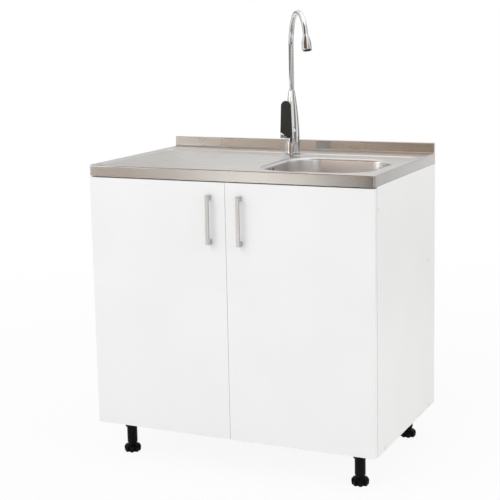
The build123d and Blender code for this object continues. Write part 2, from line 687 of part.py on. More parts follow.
def hinge_plate_screws():
    """Both sides' hinge-plate screws."""
    right = [hinge_plate_screw(y, z) for y, z in hinge_plate_screw_places()]
    return group(right + [mirrored(screw) for screw in right])


# ---------------------------------------------------------------- steel top
def recess_outline(grow):
    """Edge line of the draining area, with the tap's seat left standing."""
    left = -HALF_W + RECESS_LEFT_BORDER - grow
    right = HALF_W - RECESS_RIGHT_BORDER + grow
    front = FRONT_Y + RECESS_FRONT_BORDER - grow
    rear = REAR_Y - RECESS_REAR_BORDER + grow
    bowl_rear = REAR_Y - RECESS_BOWL_BORDER + grow
    nose = TAP_NOSE_R - grow
    outer_r = RECESS_CORNER_R + grow
    inner_r = (rear - TAP_Y) / 2
    small_r = (bowl_rear - TAP_Y) / 2
    corners = [
        ((left, front), outer_r),
        ((right, front), outer_r),
        ((right, bowl_rear), outer_r),
        ((TAP_X + nose, bowl_rear), small_r),
        ((TAP_X + nose, TAP_Y - nose), nose * TAP_NOSE_ROUNDING),
        ((TAP_X - nose, TAP_Y - nose), nose * TAP_NOSE_ROUNDING),
        ((TAP_X - nose, rear), inner_r),
        ((left, rear), outer_r),
    ]
    points = [point for point, _ in corners]
    radii = [radius for _, radius in corners]
    return make_face(FilletPolyline(*points, radius=radii, close=True))


def groove_rows():
    """(left end, right end, y) of the drainer's grooves."""
    left = -HALF_W + RECESS_LEFT_BORDER + GROOVE_LEFT_MARGIN
    bowl_end = BOWL_LEFT_X - BOWL_RIM_R - GROOVE_BOWL_MARGIN
    seat_end = TAP_X - TAP_NOSE_R - GROOVE_WIDTH
    rows = []
    for row in range(GROOVE_COUNT):
        y = FRONT_Y + RECESS_FRONT_BORDER + GROOVE_FRONT_MARGIN + row * GROOVE_PITCH
        beside_tap = y > TAP_Y - TAP_NOSE_R - GROOVE_WIDTH
        rows.append((left, min(seat_end, bowl_end) if beside_tap else bowl_end, y))
    return rows


def deck_form(inset):
    """Block under the steel's face: inset 0 ends at its upper face, SHEET at its lower one."""
    plan = RectangleRounded(UNIT_WIDTH - 2 * inset, UNIT_DEPTH - 2 * inset, DECK_CORNER_R - inset)
    foot = CARCASS_TOP - (SHEET if inset else 0)
    top = DECK_Z - inset
    form = prism(plan, foot, top)
    form = fillet(form.faces().sort_by(Axis.Z)[-1].edges(), DECK_BEND_R - inset)
    crest = top + UPSTAND_HEIGHT
    back = prism(plan, foot, crest)
    back = back & block(-HALF_W, HALF_W, REAR_Y - UPSTAND_THICK + inset, REAR_Y, foot, crest)
    back = fillet(back.edges().filter_by(Axis.X).group_by(Axis.Z)[-1], UPSTAND_BEND_R - inset)
    form += back
    cove_y = REAR_Y - UPSTAND_THICK - UPSTAND_COVE_R
    cove_z = DECK_Z + UPSTAND_COVE_R
    reach = HALF_W - DECK_CORNER_R
    cove = block(-reach, reach, cove_y, REAR_Y - UPSTAND_THICK + inset, DECK_Z - inset, cove_z)
    cove -= rod_x(UPSTAND_COVE_R + inset, -reach, reach, cove_y, cove_z)
    form += cove
    form -= prism(recess_outline(inset), RECESS_Z - inset, DECK_Z + SHEET)
    for left, right, y in groove_rows():
        slot = Pos((left + right) / 2, y) * SlotOverall(right - left, GROOVE_WIDTH + 2 * inset)
        form -= prism(slot, RECESS_Z - GROOVE_DEPTH - inset, DECK_Z)
    return form


def bowl_flange_plan():
    """Outline of the weld between the bowl and the drainer."""
    width = BOWL_WIDTH + 2 * BOWL_FLANGE
    length = BOWL_LENGTH + 2 * BOWL_FLANGE
    return Pos(BOWL_X, BOWL_Y) * RectangleRounded(width, length, BOWL_CORNER_R + BOWL_FLANGE)


def sink_deck():
    """Pressed steel top with skirt, upstand and drainer."""
    deck = deck_form(0) - deck_form(SHEET)
    deck -= prism(bowl_flange_plan(), RECESS_Z - 2 * SHEET, DECK_Z)
    return deck - rod_z(TAP_HOLE_R, RECESS_Z - 2 * SHEET, DECK_Z, TAP_X, TAP_Y)


def bowl_form(inset):
    """Space over the bowl's steel: inset 0 is the inner face, SHEET the outer one."""
    grown = 2 * inset
    top = RECESS_Z - inset
    walls = Pos(BOWL_X, BOWL_Y) * RectangleRounded(BOWL_WIDTH + grown, BOWL_LENGTH + grown,
                                                   BOWL_CORNER_R + inset)
    hollow = Pos(0, 0, top) * extrude(walls, -BOWL_DEPTH, taper=BOWL_DRAFT)
    hollow = fillet(hollow.faces().sort_by(Axis.Z)[0].edges(), BOWL_FLOOR_R + inset)
    space = hollow + prism(bowl_flange_plan(), top, RECESS_Z + BOWL_RIM_R)
    ledge = [face for face in space.faces().filter_by(Axis.Z) if abs(face.center().Z - top) < SHEET / 2]
    mouth = ledge[0].inner_wires()[0].edges()
    return fillet(mouth, BOWL_RIM_R - inset)


def overflow_y():
    """Overflow holes' middle, front to back."""
    return BOWL_Y - OVERFLOW_FRONT_SHIFT


def sink_bowl():
    """Deep-drawn bowl with its waste hole and two overflow holes."""
    bowl = bowl_form(SHEET) - bowl_form(0)
    bowl -= rod_z(WASTE_HOLE_R, BOWL_FLOOR_Z - 2 * SHEET, BOWL_FLOOR_Z + SHEET, BOWL_X, BOWL_Y)
    for side in (-1, 1):
        y = overflow_y() + side * OVERFLOW_HOLE_PITCH / 2
        bowl -= rod_x(OVERFLOW_HOLE_R, BOWL_LEFT_X - BOWL_FLANGE, BOWL_LEFT_X + BOWL_FLANGE, y,
                      RECESS_Z - OVERFLOW_DROP)
    return bowl


def sink_battens():
    """Four battens glued under the steel top, inside its skirt."""
    low_top = RECESS_Z - SHEET
    high_top = DECK_Z - SHEET
    x1 = HALF_W - SHEET
    x0 = x1 - BATTEN_WIDTH
    front = FRONT_Y + SHEET
    rear = REAR_Y - SHEET
    corner = DECK_CORNER_R
    sides = block(x0, x1, front + BATTEN_WIDTH, rear - BATTEN_WIDTH, CARCASS_TOP, low_top)
    front_batten = block(-x1 + corner, x1 - corner, front, front + BATTEN_WIDTH, CARCASS_TOP, low_top)
    rear_batten = block(-x1 + corner, x1 - corner, rear - BATTEN_WIDTH, rear, CARCASS_TOP,
                        high_top - DECK_BEND_R)
    return group([sides, mirrored(sides), front_batten, rear_batten])


# ---------------------------------------------------------------- waste
def waste_flange():
    """Steel flange and cup in the bowl's floor."""
    top = BOWL_FLOOR_Z + WASTE_FLANGE_THICK
    cup = rod_z(WASTE_FLANGE_R, BOWL_FLOOR_Z, top, BOWL_X, BOWL_Y)
    cup += rod_z(WASTE_CUP_R, WASTE_CUP_FLOOR_Z, BOWL_FLOOR_Z, BOWL_X, BOWL_Y)
    cup -= rod_z(WASTE_CUP_R - WASTE_CUP_WALL, WASTE_CUP_FLOOR_Z + WASTE_CUP_WALL, top, BOWL_X, BOWL_Y)
    cup -= rod_z(WASTE_SCREW_R, WASTE_CUP_FLOOR_Z, BOWL_FLOOR_Z, BOWL_X, BOWL_Y)
    for dx, dy in ring_of(SLOT_COUNT, SLOT_CIRCLE_R):
        cup -= rod_z(SLOT_R, WASTE_CUP_FLOOR_Z, BOWL_FLOOR_Z, BOWL_X + dx, BOWL_Y + dy)
    return cup


def waste_screw():
    """Centre screw that draws the steel cup and the plastic body together."""
    seat = WASTE_CUP_FLOOR_Z + WASTE_CUP_WALL
    head = rod_z(WASTE_SCREW_HEAD_R, seat, seat + WASTE_SCREW_HEAD, BOWL_X, BOWL_Y)
    return head + rod_z(WASTE_SCREW_R, seat - WASTE_SCREW_LENGTH, seat, BOWL_X, BOWL_Y)


def waste_seal():
    """Rubber ring between the bowl and the plastic body."""
    ring = rod_z(WASTE_FLANGE_R, WASTE_BODY_TOP_Z, WASTE_BODY_TOP_Z + WASTE_SEAL_THICK, BOWL_X, BOWL_Y)
    return ring - rod_z(WASTE_HOLE_R, WASTE_BODY_TOP_Z, BOWL_FLOOR_Z, BOWL_X, BOWL_Y)


def overflow_corner():
    """Points of the overflow tube's middle line, from the box under the rim to the waste."""
    x = BOWL_LEFT_X - SHEET - OVERFLOW_BOX_DEPTH / 2
    y = overflow_y()
    z = WASTE_BODY_TOP_Z - OVERFLOW_INLET_DROP
    away = Vector(BOWL_X - x, BOWL_Y - y, 0).normalized()
    end = Vector(BOWL_X, BOWL_Y, z) - away * (WASTE_CUP_R + WASTE_BODY_GAP + WASTE_BODY_WALL)
    top = RECESS_Z - OVERFLOW_DROP - OVERFLOW_BOX_HEIGHT / 2
    return [(x, y, top), (x, y, z), (end.X, end.Y, end.Z)]


def overflow_sweep(radius):
    """Round bar along the overflow tube's middle line."""
    points = overflow_corner()
    path = FilletPolyline(*points, radius=OVERFLOW_TUBE_BEND_R)
    section = Plane(origin=points[0], z_dir=(0, 0, -1)) * Circle(radius)
    return sweep(section, path=path)


def overflow_tube():
    """Tube that carries overflow water from the box to the waste."""
    return overflow_sweep(OVERFLOW_TUBE_R) - overflow_sweep(OVERFLOW_TUBE_R - OVERFLOW_TUBE_WALL)


def overflow_box():
    """Plastic box behind the overflow holes, outside the bowl's left wall."""
    wall = OVERFLOW_TUBE_WALL
    z = RECESS_Z - OVERFLOW_DROP
    x = BOWL_LEFT_X - SHEET
    y = overflow_y()
    low = z - OVERFLOW_BOX_HEIGHT / 2
    high = z + OVERFLOW_BOX_HEIGHT / 2 - wall
    half = OVERFLOW_BOX_WIDTH / 2
    solid = block(x - OVERFLOW_BOX_DEPTH, x + BOWL_FLANGE, y - half, y + half, low, high)
    hollow = block(x - OVERFLOW_BOX_DEPTH + wall, x + BOWL_FLANGE, y - half + wall, y + half - wall,
                   low + wall, high - wall)
    solid -= hollow
    solid -= bowl_form(SHEET)
    tube_x, tube_y, _ = overflow_corner()[0]
    return solid - rod_z(OVERFLOW_TUBE_R - wall, low, low + wall, tube_x, tube_y)


def waste_body():
    """Plastic body under the bowl: funnel, tail pipe, screw boss and overflow inlet."""
    top = WASTE_BODY_TOP_Z
    floor = WASTE_BODY_FLOOR_Z
    inner_r = WASTE_CUP_R + WASTE_BODY_GAP
    wall = WASTE_BODY_WALL
    flange = rod_z(WASTE_FLANGE_R, top - wall, top, BOWL_X, BOWL_Y)
    body = flange + rod_z(inner_r + wall, floor - wall, top, BOWL_X, BOWL_Y)
    body += rod_z(WASTE_TAIL_R, TAIL_END_Z, floor, BOWL_X, BOWL_Y)
    body -= rod_z(inner_r, floor, top, BOWL_X, BOWL_Y)
    body -= rod_z(WASTE_TAIL_R - wall, TAIL_END_Z, floor, BOWL_X, BOWL_Y)
    body += rod_z(WASTE_BOSS_R, floor - WASTE_SCREW_LENGTH, WASTE_CUP_FLOOR_Z, BOWL_X, BOWL_Y)
    rib_half = WASTE_RIB_THICK / 2
    rib = block(0, WASTE_TAIL_R - wall / 2, -rib_half, rib_half, floor - WASTE_SCREW_LENGTH / 2, floor)
    for turn in range(WASTE_RIB_COUNT):
        body += Pos(BOWL_X, BOWL_Y) * Rot(0, 0, 360 * turn / WASTE_RIB_COUNT) * rib
    body -= rod_z(WASTE_SCREW_R, WASTE_CUP_FLOOR_Z + WASTE_CUP_WALL - WASTE_SCREW_LENGTH,
                  WASTE_CUP_FLOOR_Z, BOWL_X, BOWL_Y)
    return body - overflow_port()


def overflow_port():
    """Hole in the plastic body where the overflow tube enters."""
    _, corner, end = [Vector(*point) for point in overflow_corner()]
    along = (end - corner).normalized()
    plane = Plane(origin=end - along * WASTE_BODY_WALL, z_dir=along)
    seat = extrude(plane * Circle(OVERFLOW_TUBE_R), WASTE_BODY_WALL)
    return seat + extrude(plane * Circle(OVERFLOW_TUBE_R - OVERFLOW_TUBE_WALL), WASTE_CUP_R / 2)


def strainer_basket():
    """Lift-out basket with its knob."""
    lip_z = BOWL_FLOOR_Z + WASTE_FLANGE_THICK + BASKET_LIFT_GAP
    floor = lip_z - BASKET_DEPTH
    basket = rod_z(BASKET_LIP_R, lip_z, lip_z + BASKET_WALL, BOWL_X, BOWL_Y)
    basket += rod_z(BASKET_R, floor, lip_z, BOWL_X, BOWL_Y)
    basket -= rod_z(BASKET_R - BASKET_WALL, floor + BASKET_WALL, lip_z + BASKET_WALL, BOWL_X, BOWL_Y)
    for radius, count in BASKET_RINGS:
        for dx, dy in ring_of(count, radius):
            basket -= rod_z(BASKET_HOLE_R, floor, floor + BASKET_WALL, BOWL_X + dx, BOWL_Y + dy)
    post_top = floor + BASKET_POST_HEIGHT
    basket += rod_z(BASKET_POST_R, floor, post_top, BOWL_X, BOWL_Y)
    return basket + rod_z(BASKET_KNOB_R, post_top, post_top + BASKET_KNOB_HEIGHT, BOWL_X, BOWL_Y)


# ---------------------------------------------------------------- trap
def trap_nut():
    """Ribbed nut round the waste's tail, on top of the trap."""
    nut = rod_z(TRAP_NUT_R, TRAP_TOP_Z, TRAP_TOP_Z + TRAP_NUT_HEIGHT, BOWL_X, BOWL_Y)
    for dx, dy in ring_of(TRAP_NUT_RIBS, TRAP_NUT_R):
        nut += rod_z(TRAP_NUT_RIB_R, TRAP_TOP_Z, TRAP_TOP_Z + TRAP_NUT_HEIGHT, BOWL_X + dx, BOWL_Y + dy)
    return nut - rod_z(WASTE_TAIL_R, TRAP_TOP_Z, TRAP_TOP_Z + TRAP_NUT_HEIGHT, BOWL_X, BOWL_Y)


def trap_body():
    """Upper part of the bottle trap with its dip tube and outlet collar."""
    foot = TRAP_TOP_Z - TRAP_BODY_HEIGHT
    collar_end = BOWL_Y + TRAP_BODY_R + TRAP_COLLAR_LENGTH
    body = rod_z(TRAP_BODY_R, foot, TRAP_TOP_Z, BOWL_X, BOWL_Y)
    body += rod_y(TRAP_COLLAR_R, BOWL_Y, collar_end, BOWL_X, TRAP_OUTLET_Z)
    body -= rod_z(TRAP_BODY_R - TRAP_WALL, foot, TRAP_TOP_Z - TRAP_WALL, BOWL_X, BOWL_Y)
    body -= rod_y(WASTE_TAIL_R, BOWL_Y + TRAP_BODY_R - TRAP_WALL, collar_end, BOWL_X, TRAP_OUTLET_Z)
    body -= rod_y(WASTE_TAIL_R - OUTLET_WALL, BOWL_Y, collar_end, BOWL_X, TRAP_OUTLET_Z)
    body += rod_z(TRAP_DIP_R, TRAP_TOP_Z - TRAP_DIP_LENGTH, TRAP_TOP_Z, BOWL_X, BOWL_Y)
    return body - rod_z(TRAP_DIP_R - TRAP_WALL, TRAP_TOP_Z - TRAP_DIP_LENGTH, TRAP_TOP_Z, BOWL_X, BOWL_Y)


def trap_cup():
    """Lower cup of the bottle trap."""
    top = TRAP_TOP_Z - TRAP_BODY_HEIGHT + TRAP_CUP_OVERLAP
    foot = top - TRAP_CUP_HEIGHT
    cup = rod_z(TRAP_CUP_R, foot, top, BOWL_X, BOWL_Y)
    cup = fillet(cup.faces().sort_by(Axis.Z)[0].edges(), TRAP_CUP_FLOOR_R)
    cup -= rod_z(TRAP_BODY_R, top - TRAP_CUP_OVERLAP, top, BOWL_X, BOWL_Y)
    return cup - rod_z(TRAP_BODY_R - TRAP_WALL, foot + TRAP_WALL, top - TRAP_CUP_OVERLAP, BOWL_X, BOWL_Y)


def outlet_pipe():
    """Waste pipe from the trap out through the open back."""
    start = BOWL_Y + TRAP_BODY_R
    end = REAR_Y + OUTLET_REACH
    bead = end - OUTLET_SPIGOT
    pipe = rod_y(WASTE_TAIL_R, start, end, BOWL_X, TRAP_OUTLET_Z)
    pipe += rod_y(OUTLET_BEAD_R, bead - OUTLET_BEAD_THICK, bead, BOWL_X, TRAP_OUTLET_Z)
    return pipe - rod_y(WASTE_TAIL_R - OUTLET_WALL, start, end, BOWL_X, TRAP_OUTLET_Z)


# ---------------------------------------------------------------- tap
def tap_z(height):
    """Height above the deck as a height above the floor."""
    return DECK_Z + height


def tap_seal():
    """Rubber ring between the deck and the tap."""
    ring = rod_z(TAP_BASE_R, DECK_Z, tap_z(TAP_SEAL_THICK), TAP_X, TAP_Y)
    return ring - rod_z(TAP_HOLE_R, DECK_Z, tap_z(TAP_SEAL_THICK), TAP_X, TAP_Y)


def valve_start_y():
    """Back of the valve's bore."""
    return TAP_Y - VALVE_HOUSING_REACH + VALVE_DEPTH + VALVE_RING


def stud_place():
    """(x, y) of the fixing stud."""
    return TAP_X, TAP_Y + TAP_STUD_OFFSET


def tap_stud():
    """Threaded stud that holds the tap down."""
    x, y = stud_place()
    foot = tap_z(TAP_SEAL_THICK)
    return rod_z(TAP_STUD_R, foot + TAP_STUD_BITE - TAP_STUD_LENGTH, foot + TAP_STUD_BITE, x, y)


def tap_body():
    """Chromed body: straight foot, slender cone and the valve's housing."""
    foot = TAP_SEAL_THICK
    start = tap_z(foot)
    cone = TAP_BODY_HEIGHT - TAP_BASE_HEIGHT
    waist_r = TAP_NECK_R + (TAP_BASE_R - TAP_NECK_R) * TAP_WAIST
    flank = Spline((TAP_BASE_R - TAP_BASE_TAPER, TAP_BASE_HEIGHT), (waist_r, TAP_BASE_HEIGHT + cone / 2),
                   (TAP_NECK_R, TAP_BODY_HEIGHT))
    outline = Plane.XZ * make_face([
        Polyline((0, foot), (TAP_BASE_R, foot), (TAP_BASE_R - TAP_BASE_TAPER, TAP_BASE_HEIGHT)),
        flank,
        Polyline((TAP_NECK_R, TAP_BODY_HEIGHT), (0, TAP_BODY_HEIGHT), (0, foot)),
    ])
    body = Pos(TAP_X, TAP_Y, DECK_Z) * revolve(outline, Axis.Z)
    front = TAP_Y - VALVE_HOUSING_REACH
    body += rod_y(VALVE_HOUSING_R, front, TAP_Y, TAP_X, tap_z(VALVE_HEIGHT))
    body -= rod_y(VALVE_R, front, valve_start_y(), TAP_X, tap_z(VALVE_HEIGHT))
    body -= rod_z(SPOUT_R - SPOUT_WALL + SPOUT_FIT, tap_z(TAP_BODY_HEIGHT - SPOUT_STEM_LENGTH),
                  tap_z(TAP_BODY_HEIGHT), TAP_X, TAP_Y)
    for side in (-1, 1):
        body -= rod_z(INLET_R, start, start + INLET_DEPTH, TAP_X + side * INLET_PITCH / 2, TAP_Y - INLET_R)
    return body - tap_stud()


def tap_clamp():
    """Horseshoe washer under the deck, open towards the front for the two inlets."""
    top = DECK_Z - SHEET
    x, y = stud_place()
    plate = rod_z(TAP_CLAMP_R, top - TAP_CLAMP_THICK, top, TAP_X, TAP_Y)
    plate -= block(TAP_X - TAP_CLAMP_SLOT, TAP_X + TAP_CLAMP_SLOT, TAP_Y - TAP_CLAMP_R,
                   TAP_Y + TAP_CLAMP_SLOT_REACH, top - TAP_CLAMP_THICK, top)
    return plate - rod_z(TAP_STUD_R, top - TAP_CLAMP_THICK, top, x, y)


def tap_nut():
    """Hexagon nut on the stud."""
    x, y = stud_place()
    top = DECK_Z - SHEET - TAP_CLAMP_THICK
    nut = prism(Pos(x, y) * RegularPolygon(TAP_NUT_R, 6), top - TAP_NUT_HEIGHT, top)
    return nut - rod_z(TAP_STUD_R, top - TAP_NUT_HEIGHT, top, x, y)


def valve():
    """Mixing valve in the tap's housing."""
    back = valve_start_y()
    return rod_y(VALVE_R - VALVE_FIT, back - VALVE_DEPTH + STEM_REACH, back, TAP_X, tap_z(VALVE_HEIGHT))


def valve_ring():
    """Ring nut that keeps the valve in its housing."""
    front = TAP_Y - VALVE_HOUSING_REACH
    ring = rod_y(VALVE_R - VALVE_FIT, front, front + VALVE_RING, TAP_X, tap_z(VALVE_HEIGHT))
    return ring - rod_y(VALVE_RING_BORE_R, front, front + VALVE_RING, TAP_X, tap_z(VALVE_HEIGHT))


def stem_front_y():
    """Front face of the turning stem."""
    return TAP_Y - VALVE_HOUSING_REACH - STEM_REACH


def lever_pivot_y():
    """Lever's tilting pin, front to back."""
    return TAP_Y - VALVE_HOUSING_REACH


def turning_stem():
    """Stem that turns with the lever and carries its tilting pin in a fork."""
    z = tap_z(VALVE_HEIGHT)
    back = valve_start_y() - VALVE_DEPTH + STEM_REACH
    stem = rod_y(STEM_R, stem_front_y(), back, TAP_X, z)
    slot = LEVER_NECK_WIDTH / 2 + STEM_FORK_GAP
    stem -= block(TAP_X - slot, TAP_X + slot, stem_front_y(), back - STEM_REACH / 2, z - STEM_R, z + STEM_R)
    pin = rod_x(LEVER_PIN_R, TAP_X - slot, TAP_X + slot, lever_pivot_y(), z)
    return stem + pin


def lever_outline(margin):
    """Front view of the lever, rounded at the top and tapered."""
    foot_w = LEVER_FOOT_WIDTH / 2 - margin
    top_w = LEVER_TOP_WIDTH / 2 - margin
    foot = LEVER_FOOT + margin
    top = LEVER_TOP - margin
    shoulder = top - top_w
    return make_face([
        Polyline((-top_w, shoulder), (-foot_w, foot), (foot_w, foot), (top_w, shoulder)),
        ThreePointArc((top_w, shoulder), (0, top), (-top_w, shoulder)),
    ])


def lever_plate(margin, back_y, thick):
    """Lever's outline pulled forwards from its back face."""
    plane = Plane(origin=(TAP_X, back_y, DECK_Z), x_dir=(1, 0, 0), z_dir=(0, -1, 0))
    return extrude(plane * lever_outline(margin), thick)


def lever():
    """Chromed lever: plate, and a neck that reaches back to the tilting pin."""
    back = stem_front_y() - LEVER_CLEARANCE
    z = tap_z(VALVE_HEIGHT)
    half = LEVER_NECK_WIDTH / 2
    plate = lever_plate(0, back, LEVER_THICK)
    plate -= lever_plate(INSERT_MARGIN, back - LEVER_THICK + INSERT_THICK, INSERT_THICK)
    neck = block(TAP_X - half, TAP_X + half, back, lever_pivot_y(), z - LEVER_EYE_R, z + LEVER_EYE_R)
    neck += rod_x(LEVER_EYE_R, TAP_X - half, TAP_X + half, lever_pivot_y(), z)
    neck -= rod_x(LEVER_PIN_R + LEVER_PIN_CLEARANCE, TAP_X - half, TAP_X + half, lever_pivot_y(), z)
    return plate + neck


def lever_insert():
    """Dark plate set into the lever's face."""
    back = stem_front_y() - LEVER_CLEARANCE
    return lever_plate(INSERT_MARGIN, back - LEVER_THICK + INSERT_THICK, INSERT_THICK)


def spout_ring():
    """Plastic glide ring between the body and the spout."""
    low = tap_z(TAP_BODY_HEIGHT)
    ring = rod_z(TAP_NECK_R - SPOUT_RING_INSET, low, low + SPOUT_RING_HEIGHT, TAP_X, TAP_Y)
    return ring - rod_z(SPOUT_R - SPOUT_WALL + SPOUT_FIT, low, low + SPOUT_RING_HEIGHT, TAP_X, TAP_Y)


def spout_place():
    """Frame at the tap's axis whose X axis points the way the spout leans."""
    return Pos(TAP_X, TAP_Y, DECK_Z) * Rot(0, 0, SPOUT_TURN - 90)


def spout_end():
    """End of the arch, as (reach, height) in the spout's own plane, and its direction."""
    sweep_angle = radians(SPOUT_ARCH_SWEEP)
    reach = SPOUT_ARCH_R * (1 - cos(sweep_angle))
    height = SPOUT_ARCH_BASE + SPOUT_ARCH_R * sin(sweep_angle)
    return (reach, height), (sin(sweep_angle), cos(sweep_angle))


def spout_path():
    """Middle line of the spout: straight riser, then one arch."""
    start = TAP_BODY_HEIGHT + SPOUT_RING_HEIGHT
    (reach, height), _ = spout_end()
    crest = (SPOUT_ARCH_R, 0, SPOUT_ARCH_BASE + SPOUT_ARCH_R)
    riser = Line((0, 0, start), (0, 0, SPOUT_ARCH_BASE))
    return Wire([riser, ThreePointArc((0, 0, SPOUT_ARCH_BASE), crest, (reach, 0, height))])


def spout_bar(radius):
    """Round bar along the spout's middle line."""
    start = TAP_BODY_HEIGHT + SPOUT_RING_HEIGHT
    return sweep(Pos(0, 0, start) * Circle(radius), path=spout_path())


def spout():
    """Swan-neck tube with the hollow stem that turns in the body."""
    start = TAP_BODY_HEIGHT + SPOUT_RING_HEIGHT
    inner = SPOUT_R - 2 * SPOUT_WALL
    foot = TAP_BODY_HEIGHT - SPOUT_STEM_LENGTH + SPOUT_STEM_GAP
    stem = rod_z(SPOUT_R - SPOUT_WALL, foot, start) - rod_z(inner, foot, start)
    return spout_place() * (spout_bar(SPOUT_R) - spout_bar(inner) + stem)


def nozzle_plane():
    """Plane at the arch's end, looking the way the water leaves."""
    (reach, height), (out, up) = spout_end()
    return Plane(origin=(reach, 0, height), x_dir=(0, 1, 0), z_dir=(out, 0, up))


def nozzle():
    """Flared nozzle on the spout's end."""
    plane = nozzle_plane()
    inner = SPOUT_R - 2 * SPOUT_WALL
    cone = plane * (Pos(0, 0, NOZZLE_CONE / 2) * Cone(SPOUT_R, NOZZLE_R, NOZZLE_CONE))
    sleeve = plane * (Pos(0, 0, (NOZZLE_CONE + NOZZLE_LENGTH) / 2)
                      * Cylinder(NOZZLE_R, NOZZLE_LENGTH - NOZZLE_CONE))
    bore = plane * (Pos(0, 0, NOZZLE_LENGTH / 2) * Cylinder(inner, NOZZLE_LENGTH))
    seat = plane * (Pos(0, 0, NOZZLE_LENGTH - AERATOR_DEPTH / 2) * Cylinder(AERATOR_R, AERATOR_DEPTH))
    return spout_place() * (cone + sleeve - bore - seat)


def aerator():
    """Perforated insert in the nozzle's mouth, set back a little."""
    plane = nozzle_plane()
    thick = AERATOR_DEPTH / 2
    middle = NOZZLE_LENGTH - AERATOR_DEPTH + thick / 2
    disc = Pos(0, 0, middle) * Cylinder(AERATOR_R, thick)
    for radius, count in AERATOR_RINGS:
        for dx, dy in ring_of(count, radius):
            disc -= Pos(dx, dy, middle) * Cylinder(AERATOR_HOLE_R, thick)
    return spout_place() * (plane * disc)


# ---------------------------------------------------------------- every named piece
def both_sides(name, shape):
    """Right piece under its name, and its mirrored left twin."""
    return {name + "_right": shape, name + "_left": mirrored(shape)}


def build_nodes():
    """All pieces by name."""
    nodes = {}
    nodes.update(both_sides("side_panel", side_panel()))
    nodes["bottom_panel"] = bottom_panel()
    nodes["front_rail"] = front_rail()
    nodes["rear_rail"] = rear_rail()
    nodes["panel_screws"] = panel_screws()
    nodes["screw_caps"] = screw_caps()
    nodes.update(both_sides("door", door()))
    nodes.update(both_sides("handle", handle()))
    nodes.update(both_sides("door_screws", door_screws()))
    nodes.update(both_sides("door_bumpers", door_bumpers()))
    nodes.update(both_sides("hinge_cups", hinge_cups()))
    nodes.update(both_sides("hinge_links", hinge_links()))
    nodes.update(both_sides("hinge_arms", hinge_arms()))
    nodes.update(both_sides("hinge_plates", hinge_plates()))
    nodes["hinge_plate_screws"] = hinge_plate_screws()
    nodes["leg_sockets"] = group([leg_socket(x, y) for x, y in LEG_PLACES.values()])
    nodes["leg_tubes"] = group([leg_tube(x, y) for x, y in LEG_PLACES.values()])
    nodes["leg_screws"] = group(all_leg_screws())
    for place, (x, y) in LEG_PLACES.items():
        nodes["leg_foot_" + place] = leg_foot(x, y)
    nodes["sink_deck"] = sink_deck()
    nodes["sink_bowl"] = sink_bowl()
    nodes["sink_battens"] = sink_battens()
    nodes["waste_flange"] = waste_flange()
    nodes["waste_screw"] = waste_screw()
    nodes["waste_seal"] = waste_seal()
    nodes["waste_body"] = waste_body()
    nodes["strainer_basket"] = strainer_basket()
    nodes["overflow_box"] = overflow_box()
    nodes["overflow_tube"] = overflow_tube()
    nodes["trap_nut"] = trap_nut()
    nodes["trap_body"] = trap_body()
    nodes["trap_cup"] = trap_cup()
    nodes["outlet_pipe"] = outlet_pipe()
    nodes["tap_seal"] = tap_seal()
    nodes["tap_body"] = tap_body()
    nodes["tap_stud"] = tap_stud()
    nodes["tap_clamp"] = tap_clamp()
    nodes["tap_nut"] = tap_nut()
    nodes["valve"] = valve()
    nodes["valve_ring"] = valve_ring()
    nodes["turning_stem"] = turning_stem()
    nodes["lever"] = lever()
    nodes["lever_insert"] = lever_insert()
    nodes["spout_ring"] = spout_ring()
    nodes["spout"] = spout()
    nodes["nozzle"] = nozzle()
    nodes["aerator"] = aerator()
    return nodes


os.makedirs("parts", exist_ok=True)
for node_name, node_shape in build_nodes().items():
    export_step(node_shape, "parts/" + node_name + ".step")
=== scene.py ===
from math import ceil, cos, hypot, inf, pi, radians, sin, tan

import bmesh
import bpy
from bpy.props import FloatProperty, FloatVectorProperty, IntProperty, PointerProperty
from mathutils import Matrix, Vector
from mathutils.geometry import delaunay_2d_cdt

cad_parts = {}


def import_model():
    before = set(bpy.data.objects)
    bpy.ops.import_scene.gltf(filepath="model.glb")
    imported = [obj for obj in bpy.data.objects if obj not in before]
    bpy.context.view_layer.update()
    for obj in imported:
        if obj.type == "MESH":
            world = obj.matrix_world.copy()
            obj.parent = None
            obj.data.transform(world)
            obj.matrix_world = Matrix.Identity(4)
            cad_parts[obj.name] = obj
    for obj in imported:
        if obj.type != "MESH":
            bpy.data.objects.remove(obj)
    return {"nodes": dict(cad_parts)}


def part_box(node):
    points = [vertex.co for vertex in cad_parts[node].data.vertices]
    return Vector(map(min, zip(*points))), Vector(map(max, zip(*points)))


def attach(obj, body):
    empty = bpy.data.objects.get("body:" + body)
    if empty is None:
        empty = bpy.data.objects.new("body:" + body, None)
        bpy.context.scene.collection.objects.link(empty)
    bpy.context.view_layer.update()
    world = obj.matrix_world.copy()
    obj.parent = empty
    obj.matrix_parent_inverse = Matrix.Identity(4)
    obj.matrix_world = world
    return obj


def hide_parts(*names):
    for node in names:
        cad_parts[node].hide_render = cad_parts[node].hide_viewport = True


bl_info = {
    "name": "Kitchen sink unit",
    "version": (1, 0, 0),
    "blender": (4, 5, 0),
    "location": "3D View > Sidebar > Sink unit",
    "description": "Shapes and finishes of a kitchen sink unit with a steel top and a mixer tap",
    "category": "Object",
}

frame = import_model()


def node_box(node):
    """Lowest and highest corner of a node, in millimetres."""
    return [corner * 1000 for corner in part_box(node)]


# Lengths are in millimetres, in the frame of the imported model, unless a comment says metres.
DECK_LOW, DECK_HIGH = node_box("sink_deck")
FLANGE_LOW, FLANGE_HIGH = node_box("waste_flange")
TAP_LOW, TAP_HIGH = node_box("tap_body")
SEAL_LOW, SEAL_HIGH = node_box("tap_seal")
LEVER_FRONT = node_box("lever")[0].y

